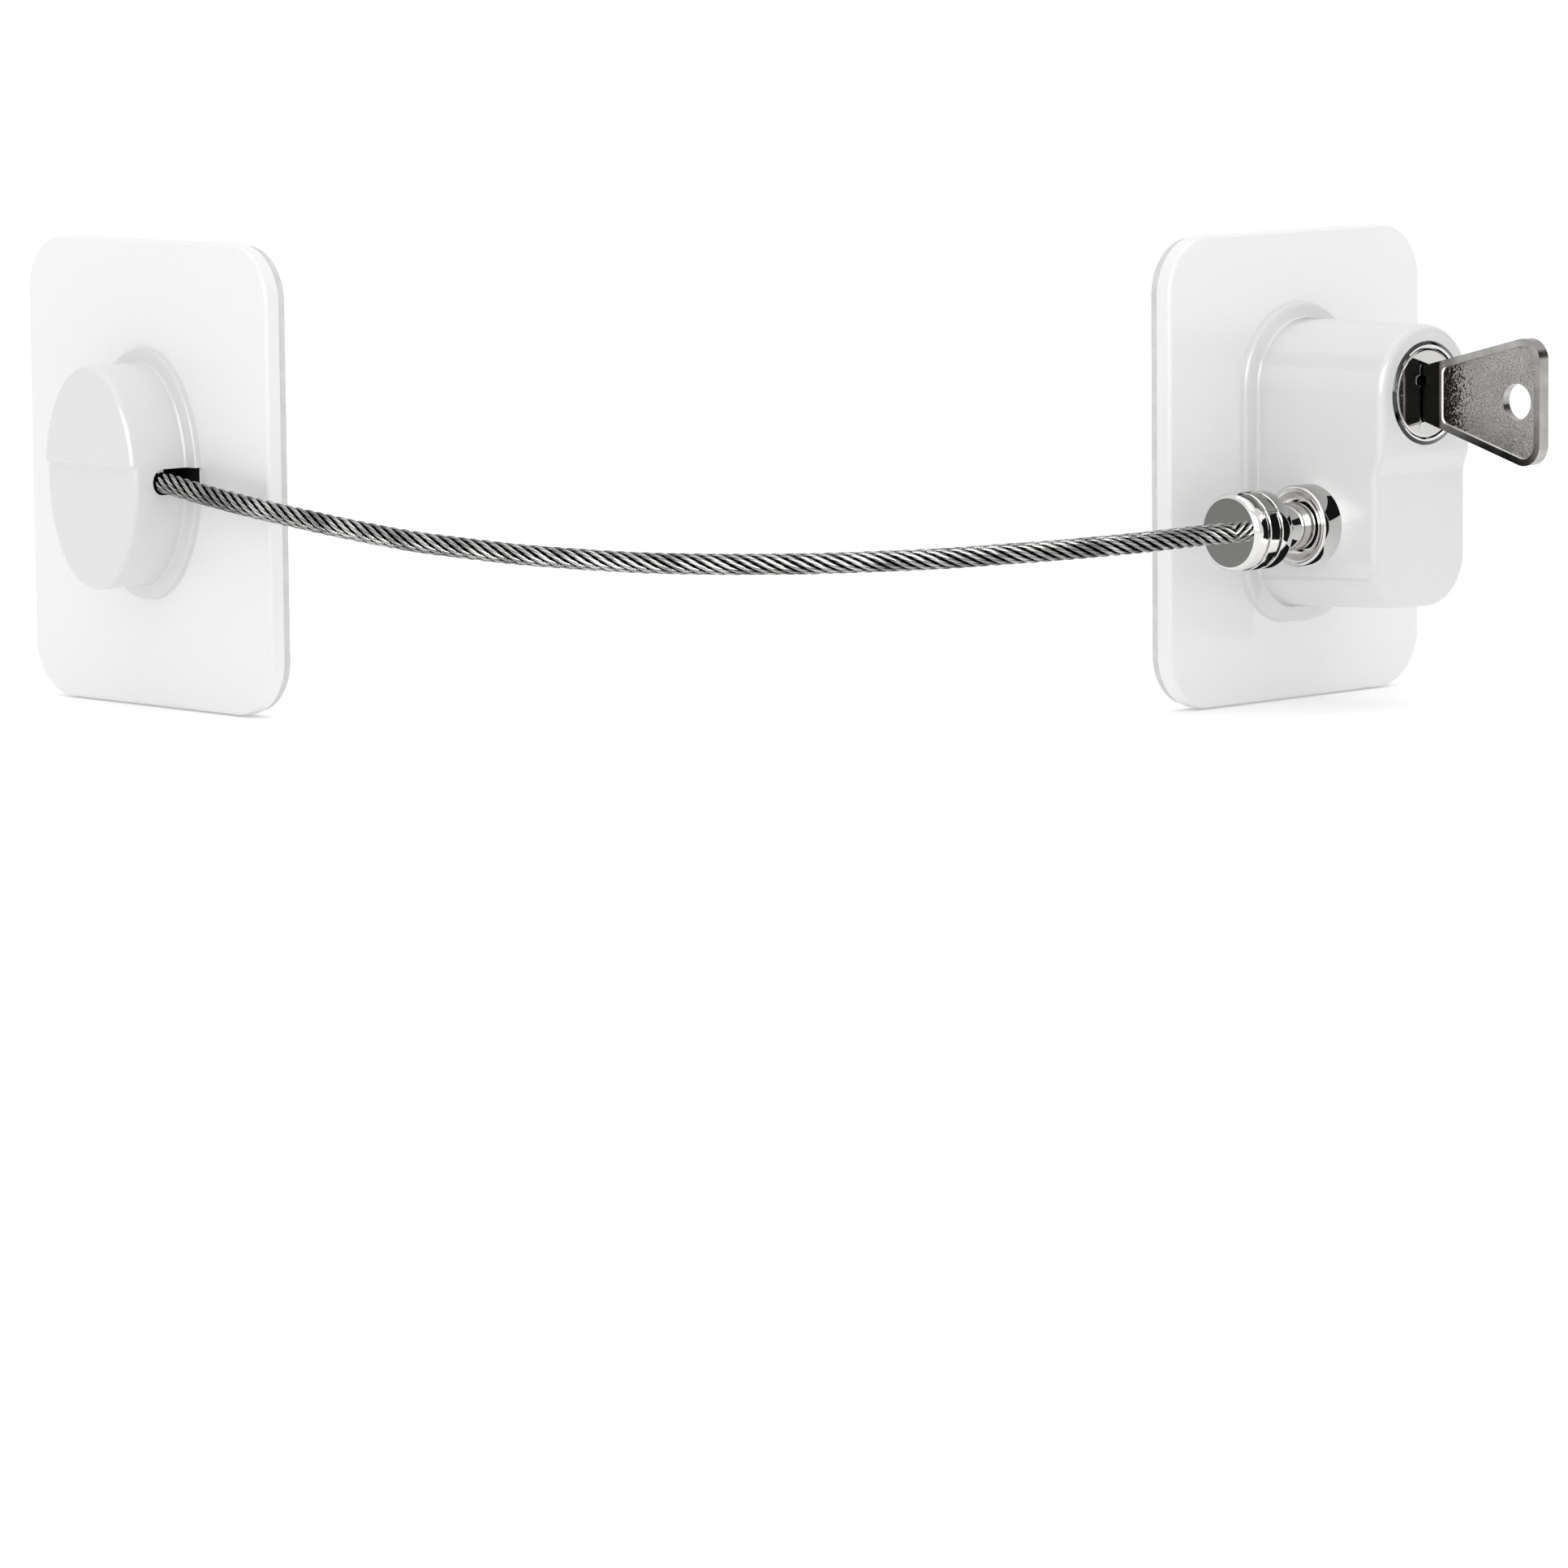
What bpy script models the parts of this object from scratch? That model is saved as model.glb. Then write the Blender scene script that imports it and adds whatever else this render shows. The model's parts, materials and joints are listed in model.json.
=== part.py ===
"""Window restrictor cable: a key lock and an anchor, each on a self-adhesive plate, joined by a wire rope.

The lock stands on the plane Y = 0 and faces -Y. The anchor stands on a plane square to it and faces -X.
+Z is up, and the origin is the centre of the back of the lock's adhesive pad. Lengths are in metres.
"Depth" is a distance outwards from the front face of a base plate.
"""
import math

import bmesh
import bpy
from mathutils import Matrix, Vector

# Clearances
SEAM = 0.0002            # between fixed pieces that seat on each other
GAP = 0.0003             # between fixed pieces that stand clear of each other
RUNNING = 0.00015        # round a piece that turns
SLIDING = 0.0003         # round a piece that slides
CUT_OVER = 0.001         # how far a cutter runs past the wall it opens

# Base plates and adhesive pads, the same on both ends
PLATE_WIDTH = 0.046
PLATE_HEIGHT = 0.058
PLATE_THICKNESS = 0.0022
PLATE_CORNER = 0.007
PLATE_EDGE = 0.0005
PAD_THICKNESS = 0.0009

# Where the anchor stands, measured from the lock
ANCHOR_X = -0.0972
ANCHOR_Y = 0.0977

# Collar round the foot of the lock housing and of the anchor cover
COLLAR_HEIGHT = 0.0011
COLLAR_SLOPE = 0.0004

# Lock housing
HOUSING_HALF_WIDTH = 0.00835
HOUSING_BOTTOM_Z = -0.0164
HOUSING_BOTTOM_DRAFT = 0.0010
HOUSING_CORNER = 0.0063
HOUSING_DEPTH = 0.02135
HOUSING_WALL = 0.00135
HOUSING_FRONT_WALL = 0.0018
HOUSING_EDGE = 0.0010
HOUSING_COLLAR = 0.0020
HOUSING_STEP = 0.00085
HOUSING_STEP_TOP_Z = 0.00245
HOUSING_STEP_LOW_Z = 0.00030

# Key cylinder
CYLINDER_Z = 0.0099
SHELL_RADIUS = 0.00628
SHELL_SHOULDER_RADIUS = 0.0068
SHELL_PROUD = 0.00015
SHELL_REAR_DEPTH = 0.384 * HOUSING_DEPTH
ROTOR_RADIUS = 0.0049
ROTOR_FLANGE_RADIUS = 0.00545
ROTOR_FLANGE = 0.0011
TAIL_RADIUS = 0.0026
TAIL_END_DEPTH = 0.300 * HOUSING_DEPTH
SHAFT_RADIUS = 0.0018
SHAFT_FLAT = 0.0012
BROACH_RADIUS = 0.0056
KEYWAY_HALF_WIDTH = 0.0011
KEYWAY_HALF_HEIGHT = 0.00335
KEYWAY_END_DEPTH = 0.440 * HOUSING_DEPTH
WAFER_COUNT = 4
WAFER_PITCH = 0.103 * HOUSING_DEPTH
WAFER_FIRST_DEPTH = 0.824 * HOUSING_DEPTH
WAFER_THICKNESS = 0.0008
WAFER_HALF_WIDTH = 0.00165
CIRCLIP_RADIUS = 0.0042
CIRCLIP_THICKNESS = 0.0006
RETAINER_THICKNESS = 0.0012
RETAINER_OPENING = 0.0070
CAM_SCREW_REACH = 0.0024
CAM_SCREW_HEAD = 0.0010
CAM_SCREW_HEAD_RADIUS = 0.0025
CAM_SCREW_HOLE = 0.0030

# Cam: its radius grows evenly with the angle, so the latch drops evenly as the key turns
CAM_RADIUS = 0.0034
CAM_THICKNESS = 0.0020
LATCH_TRAVEL = 0.0015
KEY_TURN = math.radians(90)

# Key
KEY_THICKNESS = 0.0017
BLADE_HALF_HEIGHT = 0.0030
BLADE_TIP_CLEARANCE = 0.0004
BLADE_CHAMFER = 0.0012
BITTING = (0.0006, 0.0009, 0.0005, 0.0008)
BITTING_HALF_LENGTH = 0.0009
BOW_START = 0.0020
BOW_NARROW_HALF_HEIGHT = 0.0034
BOW_WIDE_HALF_HEIGHT = 0.0085
BOW_DROP = 0.00045       # how far the bow's end hangs below the line of the blade
BOW_LENGTH = 0.0164
BOW_CORNER = 0.0026
BOW_RIM = 0.0009
BOW_RECESS = 0.00025
BOW_HOLE_RADIUS = 0.0022
BOW_HOLE_FROM_END = 0.00375

# Socket in the side of the housing, and the plug on the cable
SOCKET_DEPTH = 0.467 * HOUSING_DEPTH
SOCKET_Z = -0.00625
SOCKET_FLANGE_RADIUS = 0.00495
SOCKET_PROJECTION = 0.00285
SOCKET_NECK_RADIUS = 0.00395
SOCKET_DISH = 0.0007
SOCKET_RIM = 0.0006
SOCKET_BEVEL = 0.00025
SOCKET_INNER_X = -0.0049
NUT_THICKNESS = 0.0015
NUT_RADIUS = 0.0052
GRIP_RING_RADIUS = 0.00042
GRIP_RING_INSET = 0.0006
PIN_RADIUS = 0.00295
PLUG_OUT = 0.00545       # head to socket face as the plug stands
PLUG_TRAVEL_IN = 0.0050
PLUG_HEAD_RADIUS = 0.00475
PLUG_HEAD_LENGTH = 0.00645
PLUG_BEVEL = 0.00045
PLUG_GROOVE_STARTS = (0.0019, 0.0039)
PLUG_GROOVE_WIDTH = 0.00065
PLUG_GROOVE_SLOPE = 0.00015
PLUG_GROOVE_DEPTH = 0.00025
PIN_GROOVE_RADIUS = 0.0015
PIN_TIP = 0.0018
PIN_TIP_RADIUS = 0.0018

# Latch and its guide
LATCH_X = -0.0022
LATCH_THICKNESS = 0.0018
LATCH_END_PLAY = 0.0004
LATCH_HALF_WIDTH = 0.0044
LATCH_LEG = 0.00075
LATCH_BACK = 0.0023      # latch behind the pin, towards the plate
LATCH_ARM_X = 0.0014
LATCH_ARM_LENGTH = 0.0018
LATCH_ARM_THICKNESS = 0.0036
GUIDE_WALL = 0.0009
GUIDE_RIGHT_X = 0.0016
GUIDE_TOP = 0.0006
SPRING_RADIUS = 0.00065
SPRING_WIRE = 0.00015
SPRING_TURNS = 6

# Screws through the base plates
SCREW_RADIUS = 0.00075
SCREW_HEAD_RADIUS = 0.0016
SCREW_HEAD = 0.0009
SCREW_LENGTH = 0.0064
POST_RADIUS = 0.00155
POST_DEPTH = 0.0070
LOCK_SCREWS = ((-0.00575, 0.0010), (0.00575, 0.0010), (-0.0047, -0.0127), (0.0047, -0.0127))
ANCHOR_SCREWS = ((0.0, 0.0088), (0.0, -0.0088))

# Anchor cover and the crimped stop inside it
COVER_HALF_WIDTH = 0.0086
COVER_HALF_HEIGHT = 0.0139
COVER_DEPTH = 0.00975
COVER_WALL = 0.0017
COVER_EDGE = 0.0009
COVER_COLLAR = 0.0018
COVER_STEP = 0.0005
COVER_STEP_Z = 0.00155
COVER_STEP_HEIGHT = 0.0002
CABLE_SLOT_HEIGHT = 0.0032
STOP_LARGEST_RADIUS = 0.0025
STOP_LENGTH = 0.0080
STOP_CRIMP = 0.0003
STOP_RIB = 0.0012
STOP_GROOVE = 0.0006

# Wire rope: its route from the anchor to the plug, chosen by hand
CABLE_DIAMETER = 0.0026
CABLE_DEPTH = 0.482 * COVER_DEPTH
CABLE_PLUG_GAP = 0.00025
CABLE_EXIT_Z = -0.0003
CABLE_ROUTE = (
    (-0.1052, 0.0908, -0.0003), (-0.1052, 0.0880, -0.00045), (-0.1050, 0.0831, -0.0012),
    (-0.1042, 0.0749, -0.0024), (-0.1029, 0.0669, -0.0035), (-0.1011, 0.0590, -0.0046),
    (-0.0989, 0.0514, -0.0056), (-0.0962, 0.0441, -0.0063), (-0.0931, 0.0370, -0.0069),
    (-0.0896, 0.0303, -0.0073), (-0.0857, 0.0239, -0.0076), (-0.0815, 0.0180, -0.0077),
    (-0.0769, 0.0124, -0.0077), (-0.0720, 0.0073, -0.00765), (-0.0668, 0.0027, -0.0075),
    (-0.0613, -0.0014, -0.00735), (-0.0555, -0.0049, -0.0071), (-0.0495, -0.0079, -0.0069),
    (-0.0432, -0.0102, -0.0067), (-0.0368, -0.0119, -0.0065), (-0.0301, -0.0129, -0.0063),
    (-0.02355, -0.01327, -0.00625),
)
CABLE_BEND_POINT = 10    # the route point on the axis about which the cable bends
CABLE_SPACING = 0.0065

# Places worked out from the sizes above
PLATE_BACK_Y = -(PAD_THICKNESS + SEAM)
PLATE_FRONT_Y = PLATE_BACK_Y - PLATE_THICKNESS
HOUSING_LOW_DEPTH = HOUSING_DEPTH - HOUSING_STEP
CAVITY_DEPTH = HOUSING_LOW_DEPTH - HOUSING_FRONT_WALL
SOCKET_Y = PLATE_FRONT_Y - SOCKET_DEPTH
SOCKET_FACE_X = -HOUSING_HALF_WIDTH - SEAM - SOCKET_PROJECTION
PLUG_BACK_X = SOCKET_FACE_X - PLUG_OUT
PLUG_FACE_X = PLUG_BACK_X - PLUG_HEAD_LENGTH
PIN_GROOVE_HALF = LATCH_THICKNESS / 2 + LATCH_END_PLAY
PIN_END_X = LATCH_X + PIN_GROOVE_HALF + PIN_TIP
ROTOR_FACE_DEPTH = HOUSING_DEPTH
KEY_SHOULDER_DEPTH = ROTOR_FACE_DEPTH + SEAM
CAM_FRONT_DEPTH = TAIL_END_DEPTH - SEAM
CAM_REAR_DEPTH = CAM_FRONT_DEPTH - CAM_THICKNESS
SHAFT_END_DEPTH = CAM_REAR_DEPTH
LATCH_ARC_RADIUS = PIN_RADIUS + SLIDING
LATCH_TOP_Z = CYLINDER_Z - CAM_RADIUS - SLIDING
LATCH_REAR_Y = SOCKET_Y + LATCH_ARC_RADIUS + LATCH_BACK
GUIDE_TOP_Z = SOCKET_Z + PIN_RADIUS + SLIDING + GUIDE_TOP
COVER_CAVITY_DEPTH = COVER_DEPTH - COVER_STEP - COVER_WALL
STOP_RADIUS = min(STOP_LARGEST_RADIUS, COVER_CAVITY_DEPTH - CABLE_DEPTH - GAP)


def at_depth(depth):
    """The Y of a distance outwards from a plate's front face."""
    return PLATE_FRONT_Y - depth


# Materials

def material(name, colour, roughness, metallic=0.0):
    found = bpy.data.materials.get(name)
    if found:
        return found
    made = bpy.data.materials.new(name)
    made.use_nodes = True
    shader = made.node_tree.nodes["Principled BSDF"]
    shader.inputs["Base Color"].default_value = (*colour, 1.0)
    shader.inputs["Roughness"].default_value = roughness
    shader.inputs["Metallic"].default_value = metallic
    return made


def white_plastic():
    return material("white_plastic", (0.86, 0.86, 0.86), 0.25)


def adhesive_foam():
    return material("adhesive_foam", (0.90, 0.90, 0.89), 0.6)


def chrome():
    return material("chrome", (0.62, 0.62, 0.61), 0.08, 1.0)


def steel():
    return material("steel", (0.45, 0.45, 0.45), 0.35, 1.0)


def nickel():
    return material("nickel", (0.52, 0.50, 0.48), 0.42, 1.0)


def brass():
    return material("brass", (0.72, 0.56, 0.27), 0.3, 1.0)


def rubber():
    return material("rubber", (0.03, 0.03, 0.03), 0.8)


def wire_rope():
    return material("wire_rope", (0.40, 0.40, 0.40), 0.3, 1.0)


# Outlines: closed loops of (x, z) points, anticlockwise

def arc(centre_x, centre_z, radius, start, end, steps, ends=True):
    """Points on an arc between two angles in degrees."""
    points = []
    for step in range(0 if ends else 1, steps + 1 if ends else steps):
        angle = math.radians(start + (end - start) * step / steps)
        points.append((centre_x + radius * math.cos(angle), centre_z + radius * math.sin(angle)))
    return points


def rounded_rectangle(width, height, corner, steps=6):
    right, top = width / 2 - corner, height / 2 - corner
    corners = ((right, top, 0), (-right, top, 90), (-right, -top, 180), (right, -top, 270))
    return [point for x, z, start in corners for point in arc(x, z, corner, start, start + 90, steps)]


def ellipse(half_width, half_height, steps=48):
    turns = [2 * math.pi * step / steps for step in range(steps)]
    return [(half_width * math.cos(turn), half_height * math.sin(turn)) for turn in turns]


def arch(grow, bottom_z=HOUSING_BOTTOM_Z, top_steps=24, corner_steps=6):
    """The lock housing's outline, grown or shrunk evenly: a round top on the cylinder's axis and a square foot."""
    half, low, corner = HOUSING_HALF_WIDTH + grow, bottom_z - grow, HOUSING_CORNER + grow
    side = half - corner
    return (arc(0, CYLINDER_Z, half, 0, 180, top_steps)
            + arc(-side, low + corner, corner, 180, 270, corner_steps)
            + arc(side, low + corner, corner, 270, 360, corner_steps))


def rounded_corners(corners, steps=4):
    """A polygon from (x, z, radius) corners, each with a nonzero radius turned into an arc."""
    points = []
    for index, (x, z, radius) in enumerate(corners):
        here = Vector((x, z))
        if radius == 0:
            points.append((x, z))
            continue
        before = (Vector(corners[index - 1][:2]) - here).normalized()
        after = (Vector(corners[(index + 1) % len(corners)][:2]) - here).normalized()
        half_angle = before.angle(after) / 2
        reach = radius / math.tan(half_angle)
        centre = here + (before + after).normalized() * (radius / math.sin(half_angle))
        first, last = here + before * reach - centre, here + after * reach - centre
        turn = first.angle_signed(last)
        for step in range(steps + 1):
            spoke = Matrix.Rotation(-turn * step / steps, 2) @ first
            points.append(tuple(centre + spoke))
    return points


# Solids

def object_from(name, mesh_builder, finish, place=(0, 0, 0), parent=None):
    """A named object from a filled bmesh, with its faces turned outwards and round faces shaded smooth."""
    bmesh.ops.recalc_face_normals(mesh_builder, faces=mesh_builder.faces)
    mesh = bpy.data.meshes.new(name)
    mesh_builder.to_mesh(mesh)
    mesh_builder.free()
    mesh.materials.append(finish)
    made = bpy.data.objects.new(name, mesh)
    made.location = place
    made.parent = parent
    bpy.context.scene.collection.objects.link(made)
    smooth(made)
    return made


def smooth(made):
    made.data.shade_smooth()
    made.data.set_sharp_from_angle(angle=math.radians(35))


def loft(stations, axis="Y"):
    """A closed bmesh through outlines, each at its distance along the axis."""
    mesh_builder = bmesh.new()
    rings = []
    for distance, outline in stations:
        if axis == "Y":
            ring = [mesh_builder.verts.new((x, distance, z)) for x, z in outline]
        else:
            ring = [mesh_builder.verts.new((distance, x, z)) for x, z in outline]
        rings.append(ring)
    count = len(rings[0])
    for low, high in zip(rings, rings[1:]):
        for index in range(count):
            following = (index + 1) % count
            mesh_builder.faces.new((low[index], low[following], high[following], high[index]))
    mesh_builder.faces.new(rings[0])
    mesh_builder.faces.new(rings[-1])
    return mesh_builder


def turned(profile, steps=32, axis="X"):
    """A closed bmesh from a loop of (along, radius) points, spun round the axis; radius 0 closes on it."""
    mesh_builder = bmesh.new()
    edge_points = []
    for along, radius in profile:
        point = (along, 0, radius) if axis == "X" else (0, along, radius)
        edge_points.append(mesh_builder.verts.new(point))
    pairs = list(zip(edge_points, edge_points[1:]))
    if profile[0][1] > 0:
        pairs.append((edge_points[-1], edge_points[0]))
    edges = [mesh_builder.edges.new(pair) for pair in pairs]
    spin_axis = (1, 0, 0) if axis == "X" else (0, 1, 0)
    bmesh.ops.spin(mesh_builder, geom=edges, cent=(0, 0, 0), axis=spin_axis, angle=2 * math.pi,
                   steps=steps, use_merge=True)
    bmesh.ops.remove_doubles(mesh_builder, verts=mesh_builder.verts, dist=1e-7)
    return mesh_builder


def block(low, high):
    """A closed bmesh of a box between two corners."""
    mesh_builder = bmesh.new()
    bmesh.ops.create_cube(mesh_builder, size=1.0)
    size = Vector(high) - Vector(low)
    middle = (Vector(high) + Vector(low)) / 2
    bmesh.ops.scale(mesh_builder, vec=size, verts=mesh_builder.verts)
    bmesh.ops.translate(mesh_builder, vec=middle, verts=mesh_builder.verts)
    return mesh_builder


def rod(radius, start, end, steps=24, axis="Y"):
    """A closed bmesh of a cylinder centred on the axis."""
    return turned([(start, 0), (start, radius), (end, radius), (end, 0)], steps, axis)


def combine(target, mesh_builder, operation="DIFFERENCE", place=(0, 0, 0)):
    """Cut a shape out of an object, or join one to it, in the object's own coordinates."""
    tool = object_from("tool", mesh_builder, target.data.materials[0])
    tool.matrix_world = Matrix.Translation(place)
    was_at, was_child_of = target.location.copy(), target.parent
    target.parent, target.location = None, (0, 0, 0)
    change = target.modifiers.new("change", "BOOLEAN")
    change.operation, change.solver, change.object = operation, "EXACT", tool
    bpy.context.view_layer.update()
    depsgraph = bpy.context.evaluated_depsgraph_get()
    result = bpy.data.meshes.new_from_object(target.evaluated_get(depsgraph))
    target.modifiers.remove(change)
    bpy.data.objects.remove(tool)
    target.data = result
    target.parent, target.location = was_child_of, was_at
    smooth(target)


def step_front(mesh_builder, top_z, low_z, drop, from_y):
    """Sink the part of a front face below low_z, sloping from top_z, with everything further out than from_y."""
    for level in (top_z, low_z):
        everything = mesh_builder.verts[:] + mesh_builder.edges[:] + mesh_builder.faces[:]
        bmesh.ops.bisect_plane(mesh_builder, geom=everything, plane_co=(0, 0, level), plane_no=(0, 0, 1))
    for vertex in mesh_builder.verts:
        if vertex.co.y < from_y:
            share = (top_z - vertex.co.z) / (top_z - low_z)
            vertex.co.y += drop * min(1.0, max(0.0, share))


def edge_stations(front_depth, radius, steps=3):
    """Depth and inset of each ring of a rounded front edge."""
    angles = [math.pi / 2 * step / steps for step in range(steps + 1)]
    return [(front_depth - radius + radius * math.sin(angle), -radius * (1 - math.cos(angle)))
            for angle in angles]


# Base plates and pads

def adhesive_pad(name, parent):
    outline = rounded_rectangle(PLATE_WIDTH, PLATE_HEIGHT, PLATE_CORNER)
    shape = loft([(0, outline), (-PAD_THICKNESS, outline)])
    return object_from(name, shape, adhesive_foam(), parent=parent)


def base_plate(name, screws, parent):
    def outline(inset):
        return rounded_rectangle(PLATE_WIDTH + 2 * inset, PLATE_HEIGHT + 2 * inset, PLATE_CORNER + inset)

    front = [(at_depth(depth), outline(inset)) for depth, inset in edge_stations(0, PLATE_EDGE)]
    plate = object_from(name, loft([(PLATE_BACK_Y, outline(0))] + front), white_plastic(), parent=parent)
    for x, z in screws:
        hole_radius = SCREW_RADIUS + SLIDING
        sink_radius = SCREW_HEAD_RADIUS + SLIDING
        sink_y = PLATE_BACK_Y - SCREW_HEAD - SEAM
        hole = turned([(PLATE_BACK_Y + CUT_OVER, 0), (PLATE_BACK_Y + CUT_OVER, sink_radius),
                       (PLATE_BACK_Y, sink_radius), (sink_y, hole_radius),
                       (PLATE_FRONT_Y - CUT_OVER, hole_radius), (PLATE_FRONT_Y - CUT_OVER, 0)], 12, "Y")
        combine(plate, hole, place=(x, 0, z))
    return plate


def plate_screw(name, x, z, parent):
    """A countersunk screw with a slot, its head just below the back of the plate."""
    head_y = PLATE_BACK_Y - SEAM / 2
    neck_y, end_y = head_y - SCREW_HEAD, head_y - SCREW_LENGTH
    shape = turned([(head_y, 0), (head_y, SCREW_HEAD_RADIUS), (neck_y, SCREW_RADIUS),
                    (end_y + SCREW_RADIUS, SCREW_RADIUS), (end_y, 0)], 12, "Y")
    screw = object_from(name, shape, steel(), (x, 0, z), parent)
    slot_half, slot_depth = 0.00022, 0.0004
    slot = block((-SCREW_HEAD_RADIUS * 1.2, head_y - slot_depth, -slot_half),
                 (SCREW_HEAD_RADIUS * 1.2, head_y + CUT_OVER, slot_half))
    combine(screw, slot)
    return screw


def screw_post(target, x, z, root_depth):
    """A hollow post inside a cover, open towards the plate and joined to the cover at its other end."""
    post = rod(POST_RADIUS, at_depth(GAP), at_depth(root_depth), 16)
    combine(target, post, "UNION", (x, 0, z))
    bore = rod(SCREW_RADIUS + SEAM, at_depth(-CUT_OVER), at_depth(SCREW_LENGTH - PLATE_THICKNESS + GAP), 12)
    combine(target, bore, place=(x, 0, z))


# Lock

def lock_housing(parent):
    def outline(depth, grow):
        lower = HOUSING_BOTTOM_DRAFT * (1 - depth / HOUSING_DEPTH)
        return arch(grow, HOUSING_BOTTOM_Z - lower)

    foot = [(SEAM, HOUSING_COLLAR), (COLLAR_HEIGHT - COLLAR_SLOPE, HOUSING_COLLAR - COLLAR_SLOPE / 2),
            (COLLAR_HEIGHT, SEAM), (COLLAR_HEIGHT + COLLAR_SLOPE, 0)]
    rings = foot + edge_stations(HOUSING_DEPTH, HOUSING_EDGE)
    shape = loft([(at_depth(depth), outline(depth, grow)) for depth, grow in rings])
    step_front(shape, HOUSING_STEP_TOP_Z, HOUSING_STEP_LOW_Z, HOUSING_STEP, at_depth(CAVITY_DEPTH))
    housing = object_from("lock_housing", shape, white_plastic(), parent=parent)
    inner = arch(-HOUSING_WALL)
    combine(housing, loft([(at_depth(-CUT_OVER), inner), (at_depth(CAVITY_DEPTH), inner)]))
    for x, z in LOCK_SCREWS:
        screw_post(housing, x, z, POST_DEPTH)
    mouth = rod(SHELL_RADIUS + SEAM, at_depth(CAVITY_DEPTH - CUT_OVER), at_depth(HOUSING_DEPTH + CUT_OVER), 36)
    combine(housing, mouth, place=(0, 0, CYLINDER_Z))
    side = rod(SOCKET_NECK_RADIUS + SEAM, -HOUSING_HALF_WIDTH - CUT_OVER,
               -HOUSING_HALF_WIDTH + HOUSING_WALL + CUT_OVER, 28, "X")
    combine(housing, side, place=(0, SOCKET_Y, SOCKET_Z))
    return housing


def cylinder_shell(parent):
    """The fixed barrel of the key cylinder, broached top, bottom and sides for the wafers."""
    front = HOUSING_DEPTH + SHELL_PROUD
    shoulder = CAVITY_DEPTH - SEAM
    seat = ROTOR_FACE_DEPTH - ROTOR_FLANGE - RUNNING
    profile = [(at_depth(front), ROTOR_FLANGE_RADIUS + RUNNING), (at_depth(front), SHELL_RADIUS - SEAM),
               (at_depth(front - SEAM), SHELL_RADIUS), (at_depth(shoulder), SHELL_RADIUS),
               (at_depth(shoulder), SHELL_SHOULDER_RADIUS), (at_depth(SHELL_REAR_DEPTH), SHELL_SHOULDER_RADIUS),
               (at_depth(SHELL_REAR_DEPTH), ROTOR_RADIUS + RUNNING), (at_depth(seat), ROTOR_RADIUS + RUNNING),
               (at_depth(seat), ROTOR_FLANGE_RADIUS + RUNNING)]
    shell = object_from("cylinder_shell", turned(profile, 36, "Y"), chrome(), (0, 0, CYLINDER_Z), parent)
    broach_half = WAFER_HALF_WIDTH + 2 * SLIDING
    broach_front = at_depth(WAFER_FIRST_DEPTH + WAFER_THICKNESS)
    broach_rear = at_depth(SHELL_REAR_DEPTH - CUT_OVER)
    combine(shell, block((-broach_half, broach_front, -BROACH_RADIUS), (broach_half, broach_rear, BROACH_RADIUS)))
    combine(shell, block((-BROACH_RADIUS, broach_front, -broach_half), (BROACH_RADIUS, broach_rear, broach_half)))
    return shell


def cylinder_retainer(parent):
    """The open ring behind the cylinder that keeps it in the housing."""
    front = at_depth(SHELL_REAR_DEPTH - SEAM)
    rear = front + RETAINER_THICKNESS
    profile = [(front, CIRCLIP_RADIUS + GAP), (front, SHELL_SHOULDER_RADIUS),
               (rear, SHELL_SHOULDER_RADIUS), (rear, CIRCLIP_RADIUS + GAP)]
    retainer = object_from("cylinder_retainer", turned(profile, 28, "Y"), steel(), (0, 0, CYLINDER_Z), parent)
    half = RETAINER_OPENING / 2
    combine(retainer, block((-half, front - CUT_OVER, -0.01), (half, rear + CUT_OVER, 0)))
    return retainer


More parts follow.
